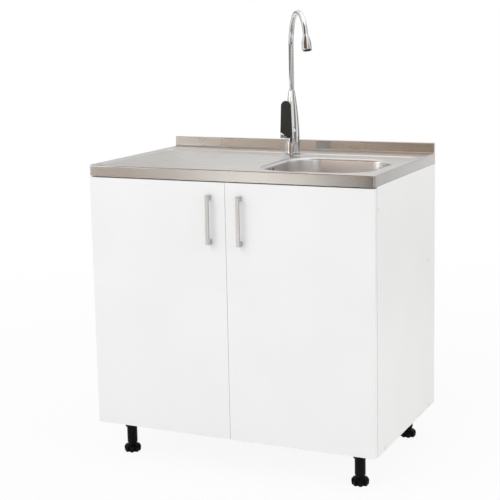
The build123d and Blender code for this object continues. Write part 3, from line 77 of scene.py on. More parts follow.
UPSTAND_HEIGHT, UPSTAND_DEPTH, CREST_R, COVE_R = 28.0, 12.0, 3.0, 4.0
PRESS_DEPTH = 3.0
DECK_Z = DECK_HIGH.z - UPSTAND_HEIGHT
RECESS_Z = DECK_Z - PRESS_DEPTH
HALF_W = DECK_HIGH.x
FRONT_Y, REAR_Y = DECK_LOW.y, DECK_HIGH.y
BEND_R, CORNER_R = 4.0, 3.0       # bend at the top's edge, and its corners seen from above
COVE_Y = REAR_Y - UPSTAND_DEPTH - COVE_R     # where the deck turns up into the upstand
SKIRT_BREAK = 12.0                # how far under the deck the skirt's upper band ends
# Gaps from the top's edges to the pressed area: left, right, front, rear, and rear beside the bowl.
PRESS_GAPS = (17.0, 14.0, 22.0, 89.0, 106.0)
PRESS_CORNER_R, SEAT_HALF_W = 24.0, 34.0     # the tap's seat is left standing in the pressed area
GROOVES, GROOVE_PITCH, FIRST_GROOVE, GROOVE_LEFT = 9, 36.0, 52.0, 65.0
GROOVE_TO_TAP, GROOVE_TO_BOWL = 43.0, 36.0
BOWL_X = (FLANGE_LOW.x + FLANGE_HIGH.x) / 2
BOWL_Y = (FLANGE_LOW.y + FLANGE_HIGH.y) / 2
BOWL_FLOOR_Z = FLANGE_HIGH.z - 1.5
BOWL_HALF_X, BOWL_HALF_Y, BOWL_CORNER_R = 149.0, 141.5, 78.0
MOUTH_R, FOOT_R, WASTE_HOLE_R = 9.5, 32.0, 45.0
WALL_SLOPE = 3.0                  # degrees that the bowl's walls lean in
OVERFLOW_R, OVERFLOW_PITCH, OVERFLOW_DROP, OVERFLOW_FORWARD = 4.6, 24.0, 14.5, 28.0
BASKET_RIM = 18.0                 # height of the basket's lip over its floor
TAP_X = (SEAL_LOW.x + SEAL_HIGH.x) / 2
TAP_Y = (SEAL_LOW.y + SEAL_HIGH.y) / 2
TAP_BASE_R = (SEAL_HIGH.x - SEAL_LOW.x) / 2
TAP_MIDDLE_R = 19.5               # pulls the cone's flank outwards
TAP_HOLE_R = 17.5
CONE_START, CONE_TOP_R = 50.0, 8.5
HOUSING_R, HOUSING_BORE_R, HOUSING_BORE_DEPTH = 16.0, 12.5, 27.0
INLET_R, INLET_HALF_PITCH, INLET_FORWARD = 4.5, 7.5, 4.5
VALVE_Z = DECK_Z + 66.0
UP = Vector((0, 0, 1))
SPOUT_ALONG = Vector((cos(radians(-54.0)), sin(radians(-54.0)), 0))   # where the arch points
SPOUT_SIDE = SPOUT_ALONG.cross(UP)
SPOUT_START, SPOUT_STRAIGHT, ARCH_R, ARCH_SWEEP = 179.0, 300.0, 88.0, 160.0
SPOUT_R, SPOUT_BORE_R, AERATOR_DEPTH = 7.0, 4.6, 37.0
LEVER_FOOT, LEVER_TOP, LEVER_FOOT_HALF_W, LEVER_TOP_R, LEVER_DEPTH = 48.0, 151.0, 18.6, 15.6, 8.0
INSERT_SLANT = 15.0               # how much higher the insert's foot is on the left
NECK_R, NECK_HALF_W, PIN_HOLE_R = 4.0, 4.5, 2.05
BOW_R, BOW_THICK, BOW_INNER_R, BOW_FOOT = 3.0, 6.5, 4.0, 12.0
FLAT_ANGLE, SQUARE_ANGLE, SHARP_ANGLE = 0.4, 60.0, 34.0   # degrees
EDGE_REACH = 0.005                # metres from an edge within which its points move with it


# ------------------------------------------------------------------ sizes and colours
class SinkUnitLook(bpy.types.PropertyGroup):
    """Sizes, in metres, and colours that a user would change."""
    board_ease: FloatProperty(
        name="Board edge", description="Rounding of the boards' long edges",
        default=0.0009, min=0.0001, max=0.003, unit="LENGTH")
    meeting_edge: FloatProperty(
        name="Meeting edge", description="How far each door's edge band closes the gap",
        default=0.0011, min=0.0, max=0.0012, unit="LENGTH")
    front_band: FloatProperty(
        name="Front band", description="How far the side panels' front edge bands stand out",
        default=0.001, min=0.0, max=0.0012, unit="LENGTH")
    handle_ease: FloatProperty(
        name="Handle edge", description="Rounding of the handles' edges",
        default=0.0008, min=0.0001, max=0.002, unit="LENGTH")
    press_width: FloatProperty(
        name="Press line width", description="Width of the pressed step round the draining area",
        default=0.0075, min=0.003, max=0.012, unit="LENGTH")
    groove_half_width: FloatProperty(
        name="Groove half width", description="Half the width of a draining groove",
        default=0.0062, min=0.003, max=0.012, unit="LENGTH")
    groove_depth: FloatProperty(
        name="Groove depth", description="Depth of a draining groove",
        default=0.0024, min=0.0, max=0.003, unit="LENGTH")
    sheet: FloatProperty(
        name="Steel sheet", description="Thickness of the steel top",
        default=0.001, min=0.0005, max=0.002, unit="LENGTH")
    foot_notches: IntProperty(
        name="Foot notches", description="Grip notches round each foot", default=8, min=4, max=24)
    board_colour: FloatVectorProperty(
        name="Board", description="Colour of the cabinet's boards",
        default=(0.86, 0.86, 0.85), size=3, subtype="COLOR")
    door_colour: FloatVectorProperty(
        name="Door", description="Colour of the doors",
        default=(0.87, 0.87, 0.87), size=3, subtype="COLOR")
    steel_colour: FloatVectorProperty(
        name="Steel", description="Colour of the steel top",
        default=(0.53, 0.515, 0.50), size=3, subtype="COLOR")
    # Painted light: lighter than the deck's steel, though bowl and deck are one sheet, to brighten the
    # shaded bowl.
    brightened_bowl_colour: FloatVectorProperty(
        name="Bowl", description="Colour of the drawn steel bowl",
        default=(0.71, 0.695, 0.69), size=3, subtype="COLOR")
    chrome_colour: FloatVectorProperty(
        name="Chrome", description="Colour of the tap",
        default=(0.68, 0.68, 0.68), size=3, subtype="COLOR")
    nickel_colour: FloatVectorProperty(
        name="Nickel", description="Colour of the handles",
        default=(0.585, 0.58, 0.575), size=3, subtype="COLOR")
    foot_colour: FloatVectorProperty(
        name="Legs", description="Colour of the plastic legs",
        default=(0.004, 0.004, 0.0045), size=3, subtype="COLOR")
    key_power: FloatProperty(
        name="Key light", description="Power of the large front light",
        default=54.0, min=0.0, max=500.0, unit="POWER")
    fill_power: FloatProperty(
        name="Fill light", description="Power of the light from the right",
        default=20.0, min=0.0, max=500.0, unit="POWER")
    ambient: FloatProperty(
        name="Ambient", description="Strength of the even light from all round",
        default=0.80, min=0.0, max=2.0, subtype="FACTOR")


def look():
    """The scene's sizes and colours."""
    return bpy.context.scene.sink_unit


# ------------------------------------------------------------------ mesh helpers
def millimetres(points):
    """Points in millimetres as vectors in metres."""
    return [Vector(point) / 1000 for point in points]


def arc(x, y, radius, start, end, steps):
    """Points of an arc round (x, y), from one angle to another in degrees."""
    turns = [radians(start + (end - start) * k / steps) for k in range(steps + 1)]
    return [(x + radius * cos(turn), y + radius * sin(turn)) for turn in turns]


def circle(radius, segments, x=0.0, y=0.0):
    """Points of a circle round (x, y)."""
    turns = [2 * pi * i / segments for i in range(segments)]
    return [(x + radius * cos(turn), y + radius * sin(turn)) for turn in turns]


def add_object(name, data):
    """Object of the scene."""
    made = bpy.data.objects.new(name, data)
    bpy.context.scene.collection.objects.link(made)
    return made


def mesh_from(bm, name):
    """Mesh from a bmesh, which is used up, its faces turned outwards."""
    bmesh.ops.recalc_face_normals(bm, faces=bm.faces)
    mesh = bpy.data.meshes.new(name)
    bm.to_mesh(mesh)
    bm.free()
    return mesh


def piece_from(bm, name):
    """Piece from a bmesh."""
    return add_object(name, mesh_from(bm, name))


def face_up(sheet):
    """Turns an open sheet over if its highest face looks down."""
    highest = max(sheet.data.polygons, key=lambda face: face.center.z)
    if highest.normal.z < 0:
        sheet.data.flip_normals()


def settle(piece):
    """Turns what the modifiers make into the piece's own plain mesh."""
    bpy.context.view_layer.update()
    evaluated = piece.evaluated_get(bpy.context.evaluated_depsgraph_get())
    mesh = bpy.data.meshes.new_from_object(evaluated)
    piece.modifiers.clear()
    piece.data = mesh
    mesh.name = piece.name
    return piece


def combine(piece, other, operation):
    """Joins a piece with another one, or cuts that out of it; the other one is used up."""
    change = piece.modifiers.new(operation, "BOOLEAN")
    change.operation = operation
    change.solver = "EXACT"
    change.object = other
    settle(piece)
    bpy.data.objects.remove(other)
    return piece


def loft(rings, bm=None, around=True, capped=False, joined=False):
    """Skin over rings of as many points each, in a new bmesh unless one is given.

    Around closes each ring, capped fills the two end rings, and joined joins those two.
    """
    bm = bm or bmesh.new()
    rows = [[bm.verts.new(point) for point in millimetres(ring)] for ring in rings]
    count = len(rows[0])
    last = count if around else count - 1
    for low, high in zip(rows, rows[1:] + (rows[:1] if joined else [])):
        for i in range(last):
            j = (i + 1) % count
            bm.faces.new((low[i], low[j], high[j], high[i]))
    if capped:
        bm.faces.new(rows[0])
        bm.faces.new(rows[-1])
    return bm


def turned(profile, centre, axis="Z", segments=64, bm=None, hollow=False):
    """Solid of revolution from (radius, height) points; a hollow one's profile is closed."""
    x, y, z = centre
    place = {"X": lambda a, b, height: (x + height, y + a, z + b),
             "Y": lambda a, b, height: (x + a, y - height, z + b),
             "Z": lambda a, b, height: (x + a, y + b, z + height)}[axis]
    rings = [[place(a, b, height) for a, b in circle(radius, segments)] for radius, height in profile]
    return loft(rings, bm, capped=not hollow, joined=hollow)


def eased(points, radius, steps=3):
    """Open (radius, height) profile with its corners rounded."""
    made = [points[0]]
    for before, here, after in zip(points, points[1:], points[2:]):
        a, p, b = Vector(before), Vector(here), Vector(after)
        u, v = a - p, b - p
        reach = min(radius, u.length * 0.45, v.length * 0.45)
        start, end = p + u.normalized() * reach, p + v.normalized() * reach
        for i in range(steps + 1):
            t = i / steps
            made.append(tuple(start * (1 - t) ** 2 + p * 2 * t * (1 - t) + end * t ** 2))
    made.append(points[-1])
    return made


def rounded_line(corners, step=7.0):
    """Closed line of (x, y) points through corners given as (x, y, radius)."""
    made = []
    count = len(corners)
    for i in range(count):
        before, here, after, beyond = (Vector(corners[(i + k) % count][:2]) for k in (-1, 0, 1, 2))
        radius = corners[i][2]
        u, v = (before - here).normalized(), (after - here).normalized()
        half = u.angle(v) / 2
        reach = radius / tan(half)
        start, end = here + u * reach, here + v * reach
        centre = here + (u + v).normalized() * (radius / sin(half))
        sweep = pi - 2 * half
        pieces = max(3, ceil(radius * sweep / min(step, 3.0 + radius * 0.08)))
        side = 1 if (start - centre).cross(end - centre) > 0 else -1
        arm = start - centre
        for k in range(pieces + 1):
            turn = side * sweep * k / pieces
            made.append((centre.x + arm.x * cos(turn) - arm.y * sin(turn),
                         centre.y + arm.x * sin(turn) + arm.y * cos(turn)))
        next_reach = corners[(i + 1) % count][2] / tan((here - after).angle(beyond - after) / 2)
        run = (after - here).length - reach - next_reach
        runs = max(1, round(run / (2.2 * step)))
        made += [tuple(end + v * run * k / runs) for k in range(1, runs)]
    return made


def merged(node):
    """Bmesh of a node's own shape, its doubles merged."""
    bm = bmesh.new()
    bm.from_mesh(frame["nodes"][node].data)
    bmesh.ops.remove_doubles(bm, verts=bm.verts, dist=1e-6)
    return bm


def worked_copy(node, name, ease, least=0.0, most=inf):
    """Piece with a node's own shape, its square edges of some lengths eased, all in metres."""
    bm = merged(node)
    bmesh.ops.dissolve_limit(bm, angle_limit=radians(FLAT_ANGLE), verts=bm.verts, edges=bm.edges)
    edges = [edge for edge in bm.edges
             if len(edge.link_faces) == 2 and edge.calc_face_angle() > radians(SQUARE_ANGLE)
             and edge.is_convex and least < edge.calc_length() < most]
    bmesh.ops.bevel(bm, geom=edges, offset=ease, segments=3, profile=0.5, affect="EDGES",
                    clamp_overlap=True)
    return piece_from(bm, name)


def shade(piece):
    """Smooth shading that keeps flat faces flat and sharp edges sharp."""
    piece.data.shade_smooth()
    piece.data.set_sharp_from_angle(angle=radians(SHARP_ANGLE))
    weigh = piece.modifiers.new("Flat faces", "WEIGHTED_NORMAL")
    weigh.keep_sharp = True
    settle(piece)


def dress(piece, finish, body, slot, *nodes):
    """Gives a piece its finish, ties it to its body and hides the nodes it stands for."""
    shade(piece)
    if finish:
        piece.data.materials.clear()
        piece.data.materials.append(bpy.data.materials[finish])
    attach(piece, body)
    if nodes:
        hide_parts(*nodes)


# ------------------------------------------------------------------ finishes
class NodeTree:
    """Node tree whose inputs are set or linked by name, with underscores for spaces."""

    def __init__(self, tree):
        self.tree = tree

    def fill(self, socket, value):
        """Sets an input, or links it where the value is an output."""
        if isinstance(value, bpy.types.NodeSocket):
            self.tree.links.new(value, socket)
        else:
            socket.default_value = value

    def add(self, kind, settings=None, **inputs):
        """New node."""
        node = self.tree.nodes.new(kind)
        for key, value in (settings or {}).items():
            setattr(node, key, value)
        for key, value in inputs.items():
            self.fill(node.inputs[key.replace("_", " ")], value)
        return node

    def out(self, kind, settings=None, output=0, **inputs):
        """An output of a new node, the first one if none is named."""
        return self.add(kind, settings, **inputs).outputs[output]

    def math(self, operation, a, b):
        """Result of a calculation on two values or outputs."""
        node = self.add("ShaderNodeMath", {"operation": operation})
        self.fill(node.inputs[0], a)
        self.fill(node.inputs[1], b)
        return node.outputs[0]


class Finish(NodeTree):
    """Node material on the piece's own coordinates."""

    def __init__(self, name, colour, roughness, metallic=0.0):
        material = bpy.data.materials.new(name)
        material.use_nodes = True
        super().__init__(material.node_tree)
        self.shader = self.tree.nodes["Principled BSDF"]
        self.colour = colour
        self.place = self.out("ShaderNodeTexCoord", output="Object")
        self.set(Base_Color=(*colour, 1), Roughness=roughness, Metallic=metallic)

    def set(self, **inputs):
        """Sets or links the shader's own inputs."""
        for key, value in inputs.items():
            self.fill(self.shader.inputs[key.replace("_", " ")], value)

    def noise(self, scale, stretch=(1, 1, 1), detail=3.0, rough=0.5):
        """Cloudy pattern, drawn out along the axes."""
        spread = self.out("ShaderNodeMapping", Vector=self.place, Scale=stretch)
        return self.out("ShaderNodeTexNoise", output="Fac", Vector=spread, Scale=scale, Detail=detail,
                        Roughness=rough)

    def cells(self, scale):
        """Pattern of crystals."""
        return self.out("ShaderNodeTexVoronoi", output="Color", Vector=self.place, Scale=scale)

    def shades(self, pattern, dark, light, low=0.3, high=0.7):
        """Base colour between two shares of the finish's colour."""
        ramp = self.add("ShaderNodeValToRGB", Fac=pattern)
        for index, position, share in ((0, low, dark), (1, high, light)):
            stop = ramp.color_ramp.elements[index]
            stop.position = position
            stop.color = (*[min(1.0, c * share) for c in self.colour], 1)
        self.set(Base_Color=ramp.outputs["Color"])

    def sheen_between(self, pattern, least, most):
        """Roughness between two values."""
        self.set(Roughness=self.out("ShaderNodeMapRange", output="Result", Value=pattern, From_Min=0.3,
                                    From_Max=0.7, To_Min=least, To_Max=most))

    def relief(self, pattern, strength, depth):
        """Fine relief of a surface, its depth in metres."""
        self.set(Normal=self.out("ShaderNodeBump", output="Normal", Height=pattern, Strength=strength,
                                 Distance=depth))


def melamine(name, colour, roughness):
    """Satin melamine: an even tone and a very fine orange-peel face."""
    finish = Finish(name, colour, roughness)
    finish.shades(finish.noise(5.0, detail=2.0), 0.985, 1.01)
    finish.sheen_between(finish.noise(60.0), roughness - 0.03, roughness + 0.04)
    finish.relief(finish.noise(1400.0, detail=2.0), 0.12, 0.00004)
    finish.set(Specular_IOR_Level=0.35)


def satin_steel(name, colour, stretch, least, most, dark, light):
    """Stainless steel with fine rolling lines along one axis."""
    finish = Finish(name, colour, 0.3, 1.0)
    lines = finish.noise(1.0, stretch, detail=5.0, rough=0.62)
    finish.shades(lines, dark, light, 0.32, 0.68)
    finish.sheen_between(finish.noise(6.0, detail=2.0), least, most)
    finish.relief(lines, 0.06, 0.00002)
    return finish


def rolled_along_x(finish, amount):
    """Draws a metal's highlights out across rolling lines that run along X."""
    finish.set(Tangent=finish.out("ShaderNodeCombineXYZ", X=1.0, Y=0.02),
               Anisotropic=amount, Anisotropic_Rotation=0.25)


def moulded(name, colour, roughness, grain=900.0, specular=0.4):
    """Moulded plastic with a fine grain."""
    finish = Finish(name, colour, roughness)
    finish.shades(finish.noise(14.0), 0.93, 1.05)
    finish.sheen_between(finish.noise(120.0), roughness - 0.05, roughness + 0.06)
    finish.relief(finish.noise(grain, detail=2.0), 0.25, 0.00006)
    finish.set(Specular_IOR_Level=specular)
    return finish


def plated(name, colour, least, most):
    """Polished or dull metal plating."""
    finish = Finish(name, colour, least, 1.0)
    finish.shades(finish.noise(30.0, detail=2.0), 0.96, 1.02)
    finish.sheen_between(finish.noise(70.0), least, most)
    return finish


def make_finishes():
    """Every finish of the unit, found later by its name."""
    sizes = look()
    melamine("melamine_board", sizes.board_colour, 0.42)
    melamine("melamine_door", sizes.door_colour, 0.36)
    for name, least, most in (("steel_drainer", 0.30, 0.35), ("steel_skirt", 0.24, 0.29)):
        steel = satin_steel(name, sizes.steel_colour, (3, 1500, 1500), least, most, 0.97, 1.02)
        rolled_along_x(steel, 0.5)
    # Drawn bowl steel: its vertical rolling lines and roughness are its own; its lighter colour is painted
    # light for the shade inside the bowl.
    satin_steel("steel_drawn", sizes.brightened_bowl_colour, (40, 40, 700), 0.33, 0.39, 0.98, 1.02)
    satin_steel("nickel_brushed", sizes.nickel_colour, (1500, 1500, 18), 0.26, 0.38, 0.92, 1.06)
    plated("chrome", sizes.chrome_colour, 0.035, 0.08)
    plated("hinge_plating", (0.58, 0.58, 0.59), 0.16, 0.30)
    zinc = plated("zinc", (0.50, 0.51, 0.53), 0.32, 0.46)
    zinc.relief(zinc.noise(500.0), 0.12, 0.00004)
    zinc.shades(zinc.cells(420.0), 0.85, 1.08, 0.1, 0.9)
    moulded("leg_plastic", sizes.foot_colour, 0.42, specular=0.08)
    moulded("fitting_plastic", (0.78, 0.78, 0.76), 0.38)
    moulded("grey_plastic", (0.60, 0.61, 0.62), 0.40)
    moulded("seal_rubber", (0.018, 0.018, 0.018), 0.70, 600.0)
    moulded("inlay_plastic", (0.034, 0.033, 0.030), 0.40, 1600.0, 0.12)
    moulded("soft_pad", (0.70, 0.70, 0.68), 0.30).set(Transmission_Weight=0.35)
    wood = Finish("sawn_softwood", (0.62, 0.45, 0.27), 0.7)
    wood.shades(wood.noise(2.2, (0.8, 14, 14), detail=5.0, rough=0.6), 0.72, 1.12)
    wood.relief(wood.noise(1.0, (30, 700, 700), detail=4.0), 0.35, 0.0002)


# ------------------------------------------------------------------ geometry-node recipes
class Recipe(NodeTree):
    """Geometry-node tree that works on a base mesh; its sizes are named inputs, in metres."""

    def __init__(self, name, sizes):
        super().__init__(bpy.data.node_groups.new(name, "GeometryNodeTree"))
        interface = self.tree.interface
        for way in ("INPUT", "OUTPUT"):
            interface.new_socket("Geometry", in_out=way, socket_type="NodeSocketGeometry")
        for label, value in sizes.items():
            kind = "NodeSocketInt" if isinstance(value, int) else "NodeSocketFloat"
            interface.new_socket(label, in_out="INPUT", socket_type=kind).default_value = value
        interface.new_socket("Finish", in_out="INPUT", socket_type="NodeSocketMaterial")
        self.size = self.tree.nodes.new("NodeGroupInput").outputs
        self.base = self.size["Geometry"]
        self.end = self.tree.nodes.new("NodeGroupOutput")

    def part(self, label, share):
        """A share of a named size."""
        return self.math("MULTIPLY", self.size[label], share)

    def vector(self, x=0.0, y=0.0, z=0.0):
        """Vector from three values or outputs."""
        return self.out("ShaderNodeCombineXYZ", X=x, Y=y, Z=z)

    def move(self, geometry, **inputs):
        """Moved or turned geometry."""
        return self.out("GeometryNodeTransform", Geometry=geometry, **inputs)

    def lift(self, geometry, height):
        """Geometry moved along Z."""
        return self.move(geometry, Translation=self.vector(z=height))

    def at_place(self, geometry):
        """Geometry moved to the place that the inputs X, Y and Z give."""
        return self.move(geometry, Translation=self.vector(*[self.size[axis] for axis in "XYZ"]))

    def cylinder(self, sides, radius, depth):
        """Upright round bar."""
        return self.out("GeometryNodeMeshCylinder", Vertices=sides, Radius=radius, Depth=depth)

    def cone(self, sides, bottom, top, depth):
        """Upright cone without its point."""
        return self.out("GeometryNodeMeshCone", Vertices=sides, Radius_Bottom=bottom, Radius_Top=top,
                        Depth=depth)

    def join(self, *parts):
        """Several geometries as one."""
        node = self.add("GeometryNodeJoinGeometry")
        for part in reversed(parts):
            self.tree.links.new(part, node.inputs[0])
        return node.outputs[0]

    def cut(self, solid, *cutters):
        """Solid less the cutters."""
        node = self.add("GeometryNodeMeshBoolean", {"operation": "DIFFERENCE", "solver": "EXACT"},
                        Mesh_1=solid)
        for cutter in cutters:
            self.tree.links.new(cutter, node.inputs["Mesh 2"])
        return node.outputs[0]

    def at_points(self, points, part, **turn):
        """Copies of a part at points, as real geometry."""
        placed = self.out("GeometryNodeInstanceOnPoints", Points=points, Instance=part, **turn)
        return self.out("GeometryNodeRealizeInstances", Geometry=placed)

    def on_circle(self, count, radius, part):
        """Copies of a part spaced evenly on a circle."""
        ring = self.out("GeometryNodeMeshCircle", Vertices=self.size[count], Radius=self.size[radius])
        return self.at_points(ring, part)

    def aimed(self, part):
        """A part at each point of the base, turned along the point's aim."""
        aim = self.out("GeometryNodeInputNamedAttribute", {"data_type": "FLOAT_VECTOR"}, Name="aim")
        turn = self.out("FunctionNodeAlignRotationToVector", {"axis": "Z"}, Vector=aim)
        return self.at_points(self.base, part, Rotation=turn)

    def finish(self, geometry):
        """Ends the tree with real geometry in its finish."""
        real = self.out("GeometryNodeRealizeInstances", Geometry=geometry)
        self.fill(self.end.inputs[0], self.out("GeometryNodeSetMaterial", Geometry=real,
                                               Material=self.size["Finish"]))


PLACE_INPUTS = {"X": 0.0, "Y": 0.0, "Z": 0.0}


def screw_recipe():
    """Screws with a tapered head and a cross recess, one at each point, along its aim."""
    recipe = Recipe("screws", {"Head Radius": 0.004, "Head Height": 0.002, "Shank Radius": 0.002,
                               "Shank Length": 0.01, "Recess": 0.0022})
    size, part = recipe.size, recipe.part
    head = recipe.cone(28, size["Head Radius"], part("Head Radius", 0.82), size["Head Height"])
    wing_size = recipe.vector(part("Recess", 2.0), part("Recess", 0.42), size["Head Height"])
    wing = recipe.lift(recipe.out("GeometryNodeMeshCube", Size=wing_size), part("Head Height", 0.85))
    other = recipe.move(wing, Rotation=recipe.vector(z=pi / 2))
    shank = recipe.cylinder(16, size["Shank Radius"], size["Shank Length"])
    shank = recipe.lift(shank, part("Shank Length", -0.5))
    recipe.finish(recipe.aimed(recipe.join(recipe.cut(head, wing, other), shank)))


def cap_recipe():
    """Thin caps with an eased rim, one at each point, along its aim."""
    recipe = Recipe("caps", {"Radius": 0.0065, "Thickness": 0.0008})
    radius, half = recipe.size["Radius"], recipe.part("Thickness", 0.5)
    disc = recipe.lift(recipe.cylinder(40, radius, half), recipe.part("Thickness", 0.25))
    rim = recipe.lift(recipe.cone(40, radius, recipe.math("SUBTRACT", radius, half), half), half)
    recipe.finish(recipe.aimed(recipe.join(disc, rim)))


def bar_recipe(name, sides, cuts):
    """A turned solid with upright bars on a circle cut out of it, or added to it."""
    recipe = Recipe(name, {"Count": 12, "Circle": 0.0245, "Radius": 0.003, "Height": 0.02,
                           **PLACE_INPUTS})
    bar = recipe.cylinder(sides, recipe.size["Radius"], recipe.size["Height"])
    bars = recipe.at_place(recipe.on_circle("Count", "Circle", bar))
    recipe.finish(recipe.cut(recipe.base, bars) if cuts else recipe.join(recipe.base, bars))


def pierced_recipe():
    """A turned solid pierced by three circles of holes along its axis."""
    sizes = {"Hole Radius": 0.0025, "Depth": 0.004, **PLACE_INPUTS}
    for row in (1, 2, 3):
        sizes.update({f"Count {row}": 8 * row, f"Circle {row}": 0.007 * (row + 1)})
    recipe = Recipe("piercings", sizes)
    drill = recipe.cylinder(16, recipe.size["Hole Radius"], recipe.size["Depth"])
    rows = [recipe.on_circle(f"Count {row}", f"Circle {row}", drill) for row in (1, 2, 3)]
    recipe.finish(recipe.cut(recipe.base, recipe.at_place(recipe.join(*rows))))


def grown(recipe, name, base, finish, place=(0.0, 0.0, 0.0), **sizes):
    """Piece that a recipe makes from a base mesh, its sizes in millimetres."""
    piece = add_object(name, base)
    modifier = piece.modifiers.new("Recipe", "NODES")
    modifier.node_group = bpy.data.node_groups[recipe]
    sizes.update(zip("XYZ", place))
    values = {label.replace("_", " "): value if isinstance(value, int) else value / 1000
              for label, value in sizes.items()}
    values["Finish"] = bpy.data.materials[finish]
    for item in modifier.node_group.interface.items_tree:
        if item.in_out == "INPUT" and item.name in values:
            modifier[item.identifier] = values[item.name]
    return settle(piece)


def pierced(name, profile, place, segments, finish, hole, depth, rows):
    """Turned piece pierced by three circles of holes, each given as (count, radius)."""
    sizes = {}
    for row, (count, radius) in enumerate(rows, 1):
        sizes.update({f"Count_{row}": count, f"Circle_{row}": radius})
    blank = mesh_from(turned(profile, (place[0], place[1], 0.0), segments=segments), name + "_blank")
    return grown("piercings", name, blank, finish, place, Hole_Radius=hole, Depth=depth, **sizes)


# ------------------------------------------------------------------ steel top
def recess_line(grow):
    """Edge line of the draining area, with the tap's seat left standing."""
    left_gap, right_gap, front_gap, rear_gap, bowl_gap = (gap - grow for gap in PRESS_GAPS)
    left, right, front = -HALF_W + left_gap, HALF_W - right_gap, FRONT_Y + front_gap
    rear, bowl_rear = REAR_Y - rear_gap, REAR_Y - bowl_gap
    seat, outer_r = SEAT_HALF_W - grow, PRESS_CORNER_R + grow
    seat_r = seat * 0.97
    return rounded_line([
        (left, front, outer_r), (right, front, outer_r), (right, bowl_rear, outer_r),
        (TAP_X + seat, bowl_rear, (bowl_rear - TAP_Y) / 2),
        (TAP_X + seat, TAP_Y - seat, seat_r), (TAP_X - seat, TAP_Y - seat, seat_r),
        (TAP_X - seat, rear, (rear - TAP_Y) / 2), (left, rear, outer_r),
    ])


def bowl_line(grow, turns=22, runs=7):
    """Line round the bowl, grown outwards, always with as many points."""
    x, y, radius = BOWL_HALF_X - BOWL_CORNER_R, BOWL_HALF_Y - BOWL_CORNER_R, BOWL_CORNER_R + grow
    corners = [arc(BOWL_X + a, BOWL_Y + b, radius, start, start + 90, turns)
               for a, b, start in ((x, -y, -90), (x, y, 0), (-x, y, 90), (-x, -y, 180))]
    made = []
    for corner, after in zip(corners, corners[1:] + corners[:1]):
        end, begin = Vector(corner[-1]), Vector(after[0])
        made += corner + [tuple(end.lerp(begin, k / runs)) for k in range(1, runs)]
    return made


def groove_rows():
    """(left end, right end, y) of the draining grooves."""
    rows = []
    for row in range(GROOVES):
        y = FRONT_Y + FIRST_GROOVE + GROOVE_PITCH * row
        beside_tap = y > TAP_Y - GROOVE_TO_TAP
        right = TAP_X - GROOVE_TO_TAP if beside_tap else BOWL_X - BOWL_HALF_X - GROOVE_TO_BOWL
        rows.append((-HALF_W + GROOVE_LEFT, right, y))
    return rows


def groove_line(left, right, y, reach, runs=18):
    """Line at a distance round a groove's middle."""
    rear = [(right + (left - right) * k / runs, y + reach) for k in range(1, runs)]
    front = [(left + (right - left) * k / runs, y - reach) for k in range(1, runs)]
    return arc(right, y, reach, -90, 90, 8) + rear + arc(left, y, reach, 90, 270, 8) + front


def deck_lines():
    """Closed lines across the pressed face, each with its height."""
    sizes = look()
    half_press = sizes.press_width * 500
    lines = []
    for share in (-1.5, -1.0, -0.7, -0.35, 0.0, 0.35, 0.7, 1.0, 1.5):
        rise = (1 + sin(max(-1.0, min(1.0, share)) * pi / 2)) / 2
        lines.append((recess_line(share * half_press), RECESS_Z + PRESS_DEPTH * rise))
    reach, depth = sizes.groove_half_width * 1000, sizes.groove_depth * 1000
    for left, right, y in groove_rows():
        for share in (0.12, 0.3, 0.5, 0.7, 0.88, 1.0, 1.2):
            drop = depth * (1 + cos(pi * min(1.0, share))) / 2
            lines.append((groove_line(left, right, y, reach * share), RECESS_Z - drop))
    lines += [(bowl_line(13.0), RECESS_Z), (bowl_line(MOUTH_R), RECESS_Z)]
    lines.append((circle(TAP_HOLE_R, 40, TAP_X, TAP_Y), DECK_Z))
    return lines


def edge_chain(inset):
    """Open line from the left rear, round the front, to the right rear, with outward directions."""
    x, y = HALF_W - BEND_R - CORNER_R, FRONT_Y + BEND_R + CORNER_R
    reach = CORNER_R - inset
    left = [((-x - reach, COVE_Y + (y - COVE_Y) * k / 24), (-1, 0)) for k in range(24)]
    front = [((-x + 2 * x * k / 40, y - reach), (0, -1)) for k in range(1, 40)]
    right = [((x + reach, y + (COVE_Y - y) * k / 24), (1, 0)) for k in range(1, 25)]
    corners = [list(zip(arc(middle, y, reach, start, start + 90, 6), arc(0, 0, 1, start, start + 90, 6)))
               for middle, start in ((-x, 180), (x, 270))]
    return left + corners[0] + front + corners[1] + right


def rear_run():
    """X of the points along the deck's rear line, without its ends."""
    x = HALF_W - BEND_R
    return [-x + 2 * x * k / 40 for k in range(1, 40)]


def add_deck_face(bm):
    """Triangulated face of the deck between its edge, the bowl's mouth and the tap's hole."""
    border = [point for point, _ in edge_chain(0.0)] + [(x, COVE_Y) for x in reversed(rear_run())]
    inner = [point for point, _ in edge_chain(1.6)][1:-1] + [(x, COVE_Y - 1.6) for x in reversed(rear_run())]
    points, edges, heights = [], [], []
    for line, height in [(border, DECK_Z), *deck_lines(), (inner, DECK_Z)]:
        first = len(points)
        points += [Vector(point) for point in line]
        heights += [height] * len(line)
        edges += [(first + i, first + (i + 1) % len(line)) for i in range(len(line))]
    flat, _, faces, origins, _, _ = delaunay_2d_cdt(points, edges, [], 0, 1e-5)
    places = [(point.x, point.y, heights[origin[0]] if origin else RECESS_Z)
              for point, origin in zip(flat, origins)]
    verts = [bm.verts.new(place) for place in millimetres(places)]
    for face in faces:
        x, y = (sum(flat[i][axis] for i in face) / 3 for axis in (0, 1))
        dx = max(abs(x - BOWL_X) - (BOWL_HALF_X - BOWL_CORNER_R), 0)
        dy = max(abs(y - BOWL_Y) - (BOWL_HALF_Y - BOWL_CORNER_R), 0)
        in_bowl = hypot(dx, dy) < BOWL_CORNER_R + MOUTH_R - 0.05
        in_hole = hypot(x - TAP_X, y - TAP_Y) < TAP_HOLE_R - 0.1
        corner_x = abs(x) - (HALF_W - BEND_R - CORNER_R)
        corner_y = FRONT_Y + BEND_R + CORNER_R - y
        outside = corner_x > 0 and corner_y > 0 and hypot(corner_x, corner_y) > CORNER_R - 0.01
        if not (in_bowl or in_hole or outside):
            bm.faces.new([verts[i] for i in face])


